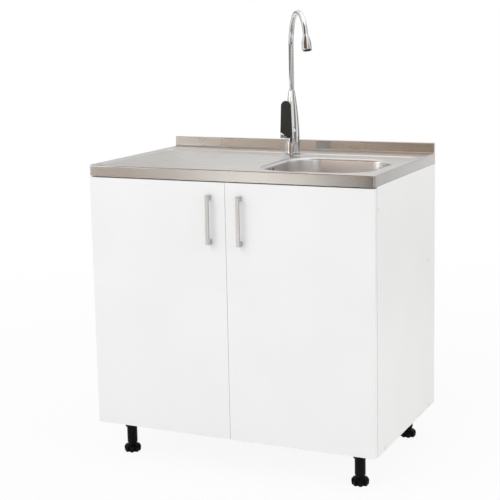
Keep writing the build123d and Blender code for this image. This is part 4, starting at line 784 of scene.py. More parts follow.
def add_bowl(bm):
    """Bowl from its mouth down to the waste."""
    slope = tan(radians(WALL_SLOPE))
    rings = arc(MOUTH_R, RECESS_Z - MOUTH_R, MOUTH_R, 90, 180 - WALL_SLOPE, 8)
    low, top = BOWL_FLOOR_Z + FOOT_R, rings[-1][1]
    rings += [((low - top) * slope * k / 8, top + (low - top) * k / 8) for k in range(1, 8)]
    rings += arc((low - top) * slope - FOOT_R, low, FOOT_R, 0, -90, 9)
    made = [[(x, y, z) for x, y in bowl_line(grow)] for grow, z in rings]
    floor, rim = made[-1], []
    for x, y, z in floor:
        share = WASTE_HOLE_R / hypot(x - BOWL_X, y - BOWL_Y)
        rim.append((BOWL_X + share * (x - BOWL_X), BOWL_Y + share * (y - BOWL_Y), z))
    for k in range(1, 7):
        made.append([tuple(Vector(a).lerp(Vector(b), k / 6)) for a, b in zip(floor, rim)])
    loft(made, bm)


def add_skirt(bm):
    """Rounded edge and skirt round the left, the front and the right; gives its section."""
    section = arc(0.0, DECK_Z - BEND_R, BEND_R, 90, 0, 6)
    section += [(BEND_R, DECK_Z - SKIRT_BREAK), (BEND_R, DECK_LOW.z + 1.0), (BEND_R, DECK_LOW.z)]
    loft([[(x + nx * reach, y + ny * reach, z) for (x, y), (nx, ny) in edge_chain(0.0)]
          for reach, z in section], bm, around=False)
    return section


def add_upstand(bm, section):
    """Cove, upstand and back, closed at both ends."""
    face_y, crest = REAR_Y - UPSTAND_DEPTH, DECK_HIGH.z - CREST_R
    profile = arc(face_y - COVE_R, DECK_Z + COVE_R, COVE_R, -90, 0, 6)
    profile += arc(face_y + CREST_R, crest, CREST_R, 180, 90, 6)
    profile += arc(REAR_Y - CREST_R, crest, CREST_R, 90, 0, 6)
    profile += [(REAR_Y, DECK_Z - SKIRT_BREAK), (REAR_Y, DECK_LOW.z)]
    xs = [-HALF_W, -HALF_W + BEND_R] + rear_run() + [HALF_W - BEND_R, HALF_W]
    loft([[(x, y, z) for x in xs] for y, z in profile], bm, around=False)
    for side in (-1, 1):
        end = [(side * HALF_W, COVE_Y, z) for _, z in reversed(section[6:])]
        end += [(side * HALF_W, y, z) for y, z in profile]
        corner = [(side * (HALF_W - BEND_R + reach), COVE_Y, z) for reach, z in section[:7]]
        corner.append((side * HALF_W, COVE_Y, DECK_Z))
        for outline in (end, corner):
            bm.faces.new([bm.verts.new(point) for point in millimetres(outline)])


def sink_top():
    """Pressed steel top and bowl as one sheet."""
    bm = bmesh.new()
    add_deck_face(bm)
    add_bowl(bm)
    add_upstand(bm, add_skirt(bm))
    bmesh.ops.remove_doubles(bm, verts=bm.verts, dist=2e-6)
    piece = piece_from(bm, "sink_top")
    face_up(piece)
    wall = piece.modifiers.new("Sheet", "SOLIDIFY")
    wall.thickness = look().sheet
    wall.offset = -1.0
    wall.use_even_offset = True
    settle(piece)
    drill = bmesh.new()
    for side in (-1, 1):
        place = (BOWL_X - BOWL_HALF_X, BOWL_Y - OVERFLOW_FORWARD + side * OVERFLOW_PITCH / 2,
                 RECESS_Z - OVERFLOW_DROP)
        turned([(OVERFLOW_R, -14.0), (OVERFLOW_R, 14.0)], place, "X", 32, drill)
    combine(piece, piece_from(drill, "overflow_drill"), "DIFFERENCE")
    mesh = piece.data
    mesh.materials.clear()
    for finish in ("steel_drainer", "steel_drawn", "steel_skirt"):
        mesh.materials.append(bpy.data.materials[finish])
    for face in mesh.polygons:
        x, y, z = face.center * 1000
        # Faces of the bowl take the lighter bowl steel, which is painted light for the bowl's shade.
        if abs(x - BOWL_X) < BOWL_HALF_X + 12.0 and abs(y - BOWL_Y) < BOWL_HALF_Y + 12.0:
            face.material_index = 1 if z < RECESS_Z - PRESS_DEPTH else 0
        else:
            face.material_index = 2 if abs(face.normal.z) < 0.6 else 0
    dress(piece, None, "cabinet", "sink_steel", "sink_deck", "sink_bowl")


# ------------------------------------------------------------------ tap
def tap_body():
    """Foot, cone and valve housing as one chromed casting."""
    foot, crest = TAP_LOW.z, TAP_HIGH.z
    profile = [(TAP_BASE_R - 0.8, foot), (TAP_BASE_R, foot + 0.8), (TAP_BASE_R, foot + 4.2),
               (TAP_BASE_R - 0.7, foot + 5.0), (TAP_BASE_R - 0.9, foot + 6.0),
               (TAP_BASE_R - 0.95, foot + 20), (TAP_BASE_R - 1.0, DECK_Z + 44)]
    for k in range(13):
        t = k / 12
        radius = (TAP_BASE_R - 1.0) * (1 - t) ** 2 + 2 * t * (1 - t) * TAP_MIDDLE_R + CONE_TOP_R * t ** 2
        start = DECK_Z + CONE_START
        profile.append((radius, start + (crest - 1.0 - start) * t))
    profile += [(8.2, crest - 0.3), (7.6, crest)]
    body = piece_from(turned(profile, (TAP_X, TAP_Y, 0.0), segments=72), "tap_casting")
    front, middle = TAP_Y - TAP_LOW.y, (TAP_X, TAP_Y, VALVE_Z)
    rim = eased([(0.5, front), (HOUSING_R, front), (HOUSING_R, 0.0), (0.5, 0.0)], 1.2)
    combine(body, piece_from(turned(rim, middle, "Y", 56), "housing"), "UNION")
    bore = turned([(HOUSING_BORE_R, front + 2.0), (HOUSING_BORE_R, front - HOUSING_BORE_DEPTH)], middle,
                  "Y", 48)
    combine(body, piece_from(bore, "housing_bore"), "DIFFERENCE")
    inlets = bmesh.new()
    for side in (-1, 1):
        place = (TAP_X + side * INLET_HALF_PITCH, TAP_Y - INLET_FORWARD, foot)
        turned([(INLET_R, -1.0), (INLET_R, 12.0)], place, segments=24, bm=inlets)
    combine(body, piece_from(inlets, "inlet_bores"), "DIFFERENCE")
    dress(body, "chrome", "cabinet", "tap_chrome", "tap_body")


def spout_points():
    """Middle line of the swan neck: places and directions."""
    base = Vector((TAP_X, TAP_Y, DECK_Z))
    made = [(base + UP * (SPOUT_START + (SPOUT_STRAIGHT - SPOUT_START) * k / 8), UP) for k in range(9)]
    for k in range(1, 41):
        turn = radians(ARCH_SWEEP * k / 40)
        place = base + SPOUT_ALONG * ARCH_R * (1 - cos(turn)) + UP * (SPOUT_STRAIGHT + ARCH_R * sin(turn))
        made.append((place, SPOUT_ALONG * sin(turn) + UP * cos(turn)))
    return made


def tube_along(stations, segments):
    """Closed skin round stations of the spout, given as (place, direction, radius)."""
    rings = []
    for place, way, radius in stations:
        across = SPOUT_SIDE.cross(way).normalized()
        rings.append([place + SPOUT_SIDE * a + across * b for a, b in circle(radius, segments)])
    return loft(rings, capped=True)


def spout():
    """Polished tube of the swan neck, hollow at both ends."""
    middle = spout_points()
    (first, up), (last, way) = middle[0], middle[-1]
    stations = [(first - up * 15, up, SPOUT_BORE_R), (first - up * 15, up, 5.8), (first, up, 5.8),
                (first, up, 6.7), (first + up * 0.3, up, SPOUT_R)]
    stations += [(place, way_there, SPOUT_R) for place, way_there in middle[1:]]
    stations += [(last, way, SPOUT_BORE_R), (last - way * 6, way, SPOUT_BORE_R)]
    piece = piece_from(tube_along(stations, 32), "swan_neck")
    dress(piece, "chrome", "spout_body", "tap_chrome", "spout")


def nozzle():
    """Flared nozzle with a rolled mouth."""
    place, way = spout_points()[-1]
    profile = [(0.0, 7.0), (0.8, 7.9), (1.6, 8.1), (2.4, 7.8), (5.0, 8.6), (12.0, 10.7), (20.0, 12.4),
               (24.5, 13.0), (41.8, 13.0), (42.6, 12.7), (43.0, 12.1), (42.6, 11.0), (41.8, 10.3),
               (35.2, 10.0), (34.9, 9.6)]
    stations = [(place + way * height, way, radius) for height, radius in profile]
    piece = piece_from(tube_along(stations, 48), "nozzle_flare")
    dress(piece, "chrome", "spout_body", "tap_chrome", "nozzle")


def aerator():
    """Pierced insert in the nozzle's mouth."""
    place, way = spout_points()[-1]
    profile = eased([(0.4, -2.0), (9.9, -2.0), (9.9, 2.0), (0.4, 2.0)], 0.5)
    piece = pierced("aerator_disc", profile, (0.0, 0.0, 0.0), 40, "inlay_plastic", 0.9, 6.0,
                    ((5, 2.6), (10, 5.2), (15, 7.8)))
    turn = UP.rotation_difference(way).to_matrix().to_4x4()
    piece.data.transform(Matrix.Translation((place + way * AERATOR_DEPTH) / 1000) @ turn)
    dress(piece, None, "spout_body", "dark_insert", "aerator")


def lever_line(margin, slant=0.0):
    """Front outline of the lever in (x, z), its foot cut aslant by the given drop."""
    foot_z, top_z = DECK_Z + LEVER_FOOT + margin, DECK_Z + LEVER_TOP - margin
    foot_w, top_w = LEVER_FOOT_HALF_W - margin, LEVER_TOP_R - margin
    shoulder, left_foot, right_foot = top_z - top_w, foot_z + slant, foot_z + slant * 0.28
    made = [(-foot_w, left_foot), (-foot_w * 0.5, foot_z + slant * 0.66),
            (foot_w * 0.1, foot_z + slant * 0.12), (foot_w * 0.5, foot_z), (foot_w, right_foot)]
    made += [(foot_w + (top_w - foot_w) * k / 6, right_foot + (shoulder - right_foot) * k / 6)
             for k in range(1, 6)]
    made += arc(0.0, shoulder, top_w, 0, 180, 24)
    made += [(-top_w - (foot_w - top_w) * k / 6, shoulder + (left_foot - shoulder) * k / 6)
             for k in range(1, 6)]
    return made


def plate_between(line, back, front, ease, crown=0.0):
    """Plate in the lever's outline, with an eased front rim and a crowned face."""
    middle_x = sum(x for x, _ in line) / len(line)
    middle_z = sum(z for _, z in line) / len(line)
    shares = [(1.0, back), (1.0, front + ease), (1 - ease / 40.0, front + ease * 0.3),
              (1 - ease / 14.0, front), (0.8, front), (0.5, front), (0.2, front)]
    return loft([[(TAP_X + middle_x + (x - middle_x) * share, y - crown * (1 - share) * 4,
                   middle_z + (z - middle_z) * share) for x, z in line] for share, y in shares],
                capped=True)


def lever():
    """Chromed lever plate with a pocket for its insert, a neck and the pin's hole."""
    plate = plate_between(lever_line(0.0), LEVER_FRONT + LEVER_DEPTH, LEVER_FRONT, 1.6)
    plate = piece_from(plate, "lever_plate")
    pocket = plate_between(lever_line(0.75, INSERT_SLANT), LEVER_FRONT + 2.5, LEVER_FRONT - 3.0, 0.05)
    combine(plate, piece_from(pocket, "lever_pocket"), "DIFFERENCE")
    back, pivot_y = LEVER_FRONT + LEVER_DEPTH - 1.0, TAP_LOW.y
    outline = [(back, VALVE_Z + NECK_R), (back, VALVE_Z - NECK_R)]
    outline += arc(pivot_y, VALVE_Z, NECK_R, -90, 90, 12)
    neck = loft([[(TAP_X + side * NECK_HALF_W, y, z) for y, z in outline] for side in (-1, 1)], capped=True)
    hole = turned([(PIN_HOLE_R, -6.0), (PIN_HOLE_R, 6.0)], (TAP_X, pivot_y, VALVE_Z), "X", 24)
    neck = combine(piece_from(neck, "lever_neck"), piece_from(hole, "lever_pin_hole"), "DIFFERENCE")
    combine(plate, neck, "UNION")
    dress(plate, "chrome", "lever_body", "tap_chrome", "lever")


def lever_insert():
    """Dark plate set into the lever, its foot cut aslant."""
    plate = plate_between(lever_line(0.8, INSERT_SLANT), LEVER_FRONT + 2.45, LEVER_FRONT - 0.35, 0.6, 0.08)
    dress(piece_from(plate, "lever_inlay"), "inlay_plastic", "lever_body", "dark_insert", "lever_insert")


def tap_rings():
    """Glide ring under the spout and the seal under the tap."""
    profile = [(7.2, 0.05), (7.4, 0.3), (7.4, 2.7), (7.2, 2.9), (5.9, 2.9), (5.9, 0.05)]
    ring = piece_from(turned(profile, (TAP_X, TAP_Y, TAP_HIGH.z), hollow=True), "glide_ring")
    dress(ring, "grey_plastic", "cabinet", "white_plastic", "spout_ring")
    edge, low, high = TAP_BASE_R - 1.2, SEAL_LOW.z, SEAL_HIGH.z
    profile = [(edge - 0.4, low), (edge, low + 0.4), (edge, high - 0.4), (edge - 0.4, high),
               (TAP_HOLE_R, high), (TAP_HOLE_R, low)]
    seal = piece_from(turned(profile, (TAP_X, TAP_Y, 0.0), hollow=True), "tap_gasket")
    dress(seal, "grey_plastic", "cabinet", "black_rubber", "tap_seal")


# ------------------------------------------------------------------ drain
def basket():
    """Lift-out strainer basket with a pierced floor and a knob."""
    floor, top = (corner.z for corner in node_box("strainer_basket"))
    lip = floor + BASKET_RIM
    profile = [(0.5, floor), (36.0, floor), (38.0, floor + 2.0), (38.0, lip - 1.0), (39.0, lip),
               (47.5, lip), (48.0, lip + 0.6), (47.5, lip + 1.2), (37.6, lip + 1.2), (36.8, lip),
               (36.8, floor + 2.4), (35.6, floor + 1.2), (3.0, floor + 1.2), (3.0, top - 4.2),
               (8.2, top - 4.0), (9.0, top - 3.2), (9.0, top - 1.2), (7.6, top), (0.5, top)]
    piece = pierced("strainer", profile, (BOWL_X, BOWL_Y, floor), 72, "steel_drawn", 2.5, 6.0,
                    ((8, 14.0), (12, 21.0), (16, 28.0)))
    dress(piece, None, "basket", "sink_steel", "strainer_basket")


def waste_ring():
    """Polished flange and cup of the waste, pierced at its foot."""
    low, top, seat = FLANGE_LOW.z, FLANGE_HIGH.z, BOWL_FLOOR_Z
    profile = [(3.2, low), (42.0, low), (42.0, seat), (55.4, seat), (56.0, seat + 0.5),
               (54.5, top - 0.2), (50.5, top), (42.6, top), (41.4, top - 0.9), (41.0, seat - 1.0),
               (41.0, low + 1.0), (3.2, low + 1.0)]
    piece = pierced("waste_rim", profile, (BOWL_X, BOWL_Y, low), 72, "steel_drawn", 3.5, 8.0,
                    ((6, 12.0), (10, 24.0), (14, 35.0)))
    dress(piece, None, "cabinet", "sink_steel", "waste_flange")


def trap():
    """Ribbed nut, trap body and cup under the bowl, with the waste and overflow bodies."""
    low, high = (corner.z for corner in node_box("trap_nut"))
    profile = eased([(28.0, low), (28.0, high - 2), (26.0, high)], 0.8) + [(20.0, high), (20.0, low)]
    blank = mesh_from(turned(profile, (BOWL_X, BOWL_Y, 0.0), hollow=True), "nut_blank")
    nut = grown("ribs", "ribbed_nut", blank, "fitting_plastic", (BOWL_X, BOWL_Y, (high + low - 2.0) / 2),
                Count=16, Circle=28.0, Radius=1.6, Height=high - low - 4.0)
    dress(nut, None, "cabinet", "white_plastic", "trap_nut")
    for node, name in (("trap_body", "bottle_trap"), ("trap_cup", "bottle_cup"),
                       ("waste_body", "waste_funnel"), ("outlet_pipe", "outlet_tube"),
                       ("overflow_box", "overflow_housing"), ("overflow_tube", "overflow_hose")):
        piece = worked_copy(node, name, 0.0006, most=0.02)
        dress(piece, "fitting_plastic", "cabinet", "white_plastic", node)


# ------------------------------------------------------------------ cabinet
def boards():
    """Panels and rails of the cabinet, the side panels with their front edge bands."""
    for node, name in (("side_panel_left", "left_side"), ("side_panel_right", "right_side"),
                       ("bottom_panel", "floor_board"), ("front_rail", "top_rail"),
                       ("rear_rail", "back_rail")):
        piece = worked_copy(node, name, look().board_ease, least=0.07)
        if node.startswith("side_panel"):
            front = min(vert.co.y for vert in piece.data.vertices)
            for vert in piece.data.vertices:
                if vert.co.y < front + EDGE_REACH:
                    vert.co.y -= look().front_band
        dress(piece, "melamine_board", "cabinet", "white_board", node)


def doors():
    """Both doors, their meeting edges closing the gap."""
    for side, way in (("left", 1), ("right", -1)):
        piece = worked_copy("door_" + side, side + "_door", look().board_ease, least=0.2)
        for vert in piece.data.vertices:
            if abs(vert.co.x) < EDGE_REACH:
                vert.co.x += way * look().meeting_edge
        dress(piece, "melamine_door", "door_" + side + "_body", "white_door", "door_" + side)


def bow_line(low, high):
    """Side outline of a bow handle in (y, z), closed."""
    y0, y1, z0, z1 = low.y, high.y, low.z, high.z
    outer, inner = y0 + BOW_R, y0 + BOW_THICK + BOW_INNER_R
    low_foot, high_foot = z0 + BOW_FOOT, z1 - BOW_FOOT
    made = [(y1, z0)] + arc(outer, z0 + BOW_R, BOW_R, -90, -180, 6)
    made += arc(outer, z1 - BOW_R, BOW_R, 180, 90, 6) + [(y1, z1), (y1, high_foot)]
    made += arc(inner, high_foot - BOW_INNER_R, BOW_INNER_R, 90, 180, 6)
    made += arc(inner, low_foot + BOW_INNER_R, BOW_INNER_R, 180, 270, 6) + [(y1, low_foot)]
    return made


def handles():
    """Bow handles with eased edges."""
    for side in ("left", "right"):
        low, high = node_box("handle_" + side)
        bm = loft([[(x, y, z) for y, z in bow_line(low, high)] for x in (low.x, high.x)], capped=True)
        edges = [edge for edge in bm.edges if edge.calc_face_angle() > radians(SQUARE_ANGLE)
                 and min(vert.co.y for vert in edge.verts) < (high.y - 0.2) / 1000]
        bmesh.ops.recalc_face_normals(bm, faces=bm.faces)
        bmesh.ops.bevel(bm, geom=edges, offset=look().handle_ease, segments=3, profile=0.6,
                        affect="EDGES", clamp_overlap=True)
        dress(piece_from(bm, side + "_bow"), "nickel_brushed", "door_" + side + "_body",
              "brushed_nickel", "handle_" + side)


def hinges():
    """Cups, links, arms and plates of the concealed hinges, and the doors' pads."""
    for side in ("left", "right"):
        door_body, link_body = "door_" + side + "_body", "hinge_links_" + side + "_body"
        for kind, body in (("cups", door_body), ("links", link_body), ("arms", "cabinet"),
                           ("plates", "cabinet")):
            node = "hinge_" + kind + "_" + side
            piece = worked_copy(node, side + "_hinge_" + kind, 0.0004, least=0.004)
            dress(piece, "hinge_plating", body, "hinge_steel", node)
        bumpers = worked_copy("door_bumpers_" + side, side + "_bumpers", 0.0005)
        dress(bumpers, "soft_pad", door_body, "clear_pad", "door_bumpers_" + side)


def parts_of(node):
    """Lowest and highest corner of each separate solid of a node, from left to right."""
    bm = merged(node)
    left = set(bm.verts)
    boxes = []
    while left:
        heap = [left.pop()]
        found = list(heap)
        while heap:
            for edge in heap.pop().link_edges:
                fresh = [vert for vert in edge.verts if vert in left]
                left.difference_update(fresh)
                heap += fresh
                found += fresh
        boxes.append([Vector([end(vert.co[i] for vert in found) for i in range(3)]) * 1000
                      for end in (min, max)])
    bm.free()
    return sorted(boxes, key=lambda box: tuple(box[0]))


def seats(name, boxes, axis, way, depth=inf):
    """Mesh of points that look out of boxes, at a depth under the outer face or on the inner one.

    Way is 1 or -1 along the axis; along X it is turned round on the unit's left.
    """
    index = "xyz".index(axis)
    places, aims = [], []
    for low, high in boxes:
        place, aim = (low + high) / 2, Vector((0, 0, 0))
        aim[index] = -way if axis == "x" and place.x < 0 else way
        place[index] = (max(high[index] - depth, low[index]) if aim[index] > 0
                        else min(low[index] + depth, high[index]))
        places.append(place)
        aims.append(aim)
    mesh = bpy.data.meshes.new(name)
    mesh.from_pydata(millimetres(places), [], [])
    attribute = mesh.attributes.new("aim", "FLOAT_VECTOR", "POINT")
    for item, aim in zip(attribute.data, aims):
        item.vector = aim
    return mesh


def screw_set(name, boxes, head, height, shank, axis, way, nodes=(), body="cabinet"):
    """Zinc screws whose heads seat where the heads of the solids in the boxes do."""
    low, high = (corner["xyz".index(axis)] for corner in boxes[0])
    piece = grown("screws", name, seats(name + "_places", boxes, axis, way, height), "zinc",
                  Head_Radius=head, Head_Height=height, Shank_Radius=shank,
                  Shank_Length=high - low - height, Recess=head * 0.55)
    dress(piece, None, body, "zinc_steel", *nodes)


def screws():
    """Panel screws, hinge screws, leg screws and door screws."""
    for name, node, sizes, axis, way in (("side_screws", "panel_screws", (5.0, 4.0, 3.5), "x", 1),
                                         ("plate_screws", "hinge_plate_screws", (4.0, 2.0, 2.5), "x", -1),
                                         ("socket_screws", "leg_screws", (3.5, 1.6, 2.0), "z", -1)):
        screw_set(name, parts_of(node), *sizes, axis, way, (node,))
    for side in ("left", "right"):
        node, body = "door_screws_" + side, "door_" + side + "_body"
        boxes = parts_of(node)
        handle_boxes = [box for box in boxes if box[0].y < FRONT_Y - 1]
        cup_boxes = [box for box in boxes if box[0].y >= FRONT_Y - 1]
        screw_set(side + "_handle_screws", handle_boxes, 4.0, 2.0, 2.0, "y", 1, (node,), body)
        screw_set(side + "_cup_screws", cup_boxes, 3.2, 1.0, 1.75, "y", 1, (), body)


def caps():
    """White caps over the panel screws."""
    mesh = seats("cap_places", parts_of("screw_caps"), "x", 1)
    piece = grown("caps", "panel_caps", mesh, "fitting_plastic", Radius=6.5, Thickness=0.8)
    dress(piece, None, "cabinet", "white_plastic", "screw_caps")


# ------------------------------------------------------------------ legs
def legs():
    """Sockets, tubes and notched screw feet."""
    for node, name in (("leg_sockets", "sockets"), ("leg_tubes", "tubes")):
        dress(worked_copy(node, name, 0.0008, most=0.02), "leg_plastic", "cabinet", "black_plastic", node)
    pad = [(20.5, 0.0), (21.4, 0.0), (22.2, 3.0), (23.0, 9.0), (22.8, 13.5), (20.0, 17.5),
           (15.0, 19.5), (13.0, 20.5), (10.9, 26.0), (10.9, 69.0)]
    profile = [(0.5, 0.0)] + eased(pad, 1.0) + [(10.0, 70.0), (0.5, 70.0)]
    for place in ("front_left", "front_right", "rear_left", "rear_right"):
        low, high = node_box("leg_foot_" + place)
        middle = ((low.x + high.x) / 2, (low.y + high.y) / 2, 0.0)
        blank = mesh_from(turned(profile, middle, segments=60), "foot_blank")
        # Half of a notch's height is below the floor, so it opens through the pad's underside.
        piece = grown("notches", "foot_" + place, blank, "leg_plastic", middle,
                      Count=look().foot_notches, Circle=20.5, Radius=4.5, Height=32.0)
        dress(piece, None, "foot_" + place, "black_plastic", "leg_foot_" + place)


# ------------------------------------------------------------------ what stays as it is
FINISH_OF_NODE = {
    "sink_battens": "sawn_softwood", "waste_screw": "zinc", "waste_seal": "seal_rubber",
    "tap_stud": "zinc", "tap_clamp": "zinc", "tap_nut": "zinc", "valve": "fitting_plastic",
    "valve_ring": "chrome", "turning_stem": "chrome",
}


def carried_over():
    """Gives the model's own solids that still show their finishes."""
    for node, finish in FINISH_OF_NODE.items():
        materials = frame["nodes"][node].data.materials
        for index in range(len(materials)):
            materials[index] = bpy.data.materials[finish]


# ------------------------------------------------------------------ stage, in metres
CAMERA_PLACE = (1.3637, -3.0098, 1.1886)
CAMERA_YAW, CAMERA_PITCH, CAMERA_ROLL = -25.121, 9.232, -1.161    # degrees
FOCAL_PIXELS, PICTURE_PIXELS, SENSOR_WIDTH = 1231.2, 500, 36.0
CAMERA_SHIFT = -0.07
FLOOR_RADIUS, FLOOR_SHADE, FLOOR_CARD_Z = 60.0, 0.82, 0.004
SHADOW_NEAR, SHADOW_FAR, NEAR_SHARE = 0.5, 3.0, 0.90     # the floor's white share rises between these
WHITE = (1, 1, 1, 1)
DARK = (0.03, 0.027, 0.023)
BRIGHT_LOW = (2.1, 2.08, 2.05)
TAN = (0.44, 0.37, 0.30)

# Cards are seen by gloss alone. Upright ones across the view: left, right, low, high, y, colour.
UPRIGHT_CARDS = {
    "dark_front_card": (-0.8, 0.25, 0.0, 2.4, -4.6, DARK),
    "dark_right_card": (0.95, 1.5, 0.0, 2.4, -4.6, DARK),
    "dark_middle_card": (0.25, 0.95, 0.0, 1.0, -4.6, DARK),
    "window_card": (0.25, 0.95, 1.0, 2.6, -4.6, (3.8, 3.8, 3.75)),
    "dark_low_card": (-1.52, -0.8, 0.0, 1.05, -4.6, DARK),
    "bright_low_card": (-2.2, -1.52, 0.0, 0.95, -4.6, BRIGHT_LOW),
    "tan_low_card": (-3.9, -2.5, 0.0, 1.0, -4.6, TAN),
    "brown_left_card": (-3.25, -2.0, 1.05, 3.0, -4.6, (0.60, 0.36, 0.19)),
    "brown_card": (-2.0, -1.45, 1.05, 3.0, -4.6, (0.78, 0.45, 0.22)),
    "brown_right_card": (-1.45, -0.8, 1.05, 3.0, -4.6, (1.06, 0.61, 0.30)),
    "bright_left_card": (-4.7, -3.25, 1.1, 2.6, -4.6, (9.5, 9.5, 9.5)),
    "bright_strip_card": (-1.90, -1.65, 1.1, 2.4, -4.5, (3.3, 2.9, 2.5)),
    "brown_high_card": (-3.5, 1.2, 2.1, 8.0, -2.6, (0.20, 0.13, 0.08)),
}

# Level ones: height, corners, colour.
LEVEL_CARDS = {
    "dark_floor_card": (FLOOR_CARD_Z, ((-0.22, -1.6), (-1.52, -4.6), (1.5, -4.6), (1.5, -1.6)),
                        (0.04, 0.036, 0.03)),
    "bright_floor_card": (FLOOR_CARD_Z, ((-0.58, -1.6), (-2.20, -4.6), (-1.52, -4.6), (-0.22, -1.6)),
                          BRIGHT_LOW),
    "tan_floor_card": (FLOOR_CARD_Z, ((-1.70, -1.6), (-3.90, -4.6), (-2.50, -4.6), (-0.83, -1.6)), TAN),
    "dark_rear_floor_card": (FLOOR_CARD_Z, ((0.8, 1.8), (2.2, 1.4), (3.2, 3.8), (1.5, 4.2)),
                             (0.08, 0.072, 0.065)),
    "bright_top_card": (3.4, ((-1.3, -0.6), (1.3, -0.6), (1.3, 2.0), (-1.3, 2.0)), (1.7, 1.7, 1.7)),
}

# Upright ones that face the unit: azimuth off its front in degrees, distance, width, low, high, colour.
FACING_CARDS = {
    "dark_left_card": (-75, 8.0, 9.6, 0.6, 1.3, (0.16, 0.15, 0.13)),
    "dark_rear_left_card": (-130, 8.0, 6.0, 0.6, 2.2, (0.20, 0.17, 0.13)),
    "grey_right_card": (75, 3.0, 1.6, 0.0, 3.2, (0.26, 0.25, 0.24)),
    "dark_rear_card": (134, 3.0, 1.0, 0.0, 3.2, (0.04, 0.04, 0.04)),
    "grey_front_right_card": (40, 4.5, 3.2, 0.0, 0.72, (0.35, 0.34, 0.33)),
}


def empty_tree(owner):
    """Emptied node tree of a material or a world."""
    owner.use_nodes = True
    owner.node_tree.nodes.clear()
    return NodeTree(owner.node_tree)


def seen_share(nodes):
    """One where camera, gloss or glass look, nought elsewhere."""
    path = nodes.add("ShaderNodeLightPath").outputs
    seen = nodes.math("MAXIMUM", path["Is Camera Ray"], path["Is Glossy Ray"])
    return nodes.math("MAXIMUM", seen, path["Is Transmission Ray"])


def mix_out(nodes, output, share, lit, seen):
    """Ends a tree with a share of one shader over another."""
    mix = nodes.add("ShaderNodeMixShader")
    for socket, value in zip(mix.inputs, (share, lit, seen)):
        nodes.fill(socket, value)
    nodes.add(output, Surface=mix.outputs[0])


def floor():
    """Wide round floor that camera and gloss see as white, and that keeps a soft shadow near the unit."""
    bm = bmesh.new()
    bmesh.ops.create_circle(bm, cap_ends=True, segments=128, radius=FLOOR_RADIUS)
    plane = piece_from(bm, "studio_floor")
    face_up(plane)
    material = bpy.data.materials.new("pale_floor")
    nodes = empty_tree(material)
    matt = nodes.out("ShaderNodeBsdfDiffuse", Color=(FLOOR_SHADE, FLOOR_SHADE, FLOOR_SHADE, 1))
    glow = nodes.out("ShaderNodeEmission", Color=WHITE)
    place = nodes.out("ShaderNodeTexCoord", output="Object")
    reach = nodes.out("ShaderNodeVectorMath", {"operation": "LENGTH"}, output="Value", Vector=place)
    far = nodes.out("ShaderNodeMapRange", output="Result", Value=reach, From_Min=SHADOW_NEAR,
                    From_Max=SHADOW_FAR, To_Min=NEAR_SHARE, To_Max=1.0)
    mix_out(nodes, "ShaderNodeOutputMaterial", nodes.math("MULTIPLY", seen_share(nodes), far), matt, glow)
    plane.data.materials.append(material)


def world():
    """Even light from all round, white where camera and gloss look."""
    sky = bpy.data.worlds.new("studio")
    bpy.context.scene.world = sky
    nodes = empty_tree(sky)
    even = nodes.out("ShaderNodeBackground", Color=WHITE, Strength=look().ambient)
    white = nodes.out("ShaderNodeBackground", Color=WHITE)
    mix_out(nodes, "ShaderNodeOutputWorld", seen_share(nodes), even, white)


def card(name, corners, colour):
    """Card that shines in its own colour, for gloss alone."""
    bm = bmesh.new()
    bm.faces.new([bm.verts.new(corner) for corner in corners])
    plane = piece_from(bm, name)
    material = bpy.data.materials.new(name)
    material.use_nodes = True
    shader = material.node_tree.nodes["Principled BSDF"].inputs
    shader["Base Color"].default_value = (0, 0, 0, 1)
    shader["Roughness"].default_value = 1.0
    shader["Specular IOR Level"].default_value = 0.0
    shader["Emission Color"].default_value = (*colour, 1)
    shader["Emission Strength"].default_value = 1.0
    plane.data.materials.append(material)
    for ray in ("camera", "diffuse", "shadow", "transmission"):
        setattr(plane, "visible_" + ray, False)


def cards():
    """Every reflection card."""
    for name, (left, right, low, high, y, colour) in UPRIGHT_CARDS.items():
        card(name, ((left, y, low), (right, y, low), (right, y, high), (left, y, high)), colour)
    for name, (height, corners, colour) in LEVEL_CARDS.items():
        card(name, [(x, y, height) for x, y in corners], colour)
    for name, (azimuth, distance, width, low, high, colour) in FACING_CARDS.items():
        turn = radians(azimuth)
        middle = Vector((sin(turn), -cos(turn), 0)) * distance
        side = Vector((cos(turn), sin(turn), 0)) * width / 2
        card(name, [middle - side + UP * low, middle + side + UP * low, middle + side + UP * high,
                    middle - side + UP * high], colour)


def area_light(name, place, aim, size, power):
    """Soft square light."""
    lamp = bpy.data.lights.new(name, "AREA")
    lamp.shape = "SQUARE"
    lamp.size = size
    lamp.energy = power
    light = add_object(name, lamp)
    light.location = place
    light.rotation_mode = "QUATERNION"
    light.rotation_quaternion = (Vector(aim) - Vector(place)).to_track_quat("-Z", "Y")
    light.visible_glossy = False


def camera():
    """Camera at the photograph's place."""
    data = bpy.data.cameras.new("photo_camera")
    data.sensor_width = SENSOR_WIDTH
    data.lens = FOCAL_PIXELS / PICTURE_PIXELS * SENSOR_WIDTH
    data.shift_y = CAMERA_SHIFT
    eye = add_object("photo_camera", data)
    yaw, pitch, roll = radians(CAMERA_YAW), radians(CAMERA_PITCH), radians(CAMERA_ROLL)
    forward = Vector((sin(yaw) * cos(pitch), cos(yaw) * cos(pitch), -sin(pitch)))
    right = Vector((cos(yaw), -sin(yaw), 0))
    up = right.cross(forward)
    across = right * cos(roll) + up * sin(roll)
    upright = up * cos(roll) - right * sin(roll)
    turn = Matrix((across, upright, -forward)).transposed()
    eye.matrix_world = Matrix.Translation(CAMERA_PLACE) @ turn.to_4x4()
    bpy.context.scene.camera = eye


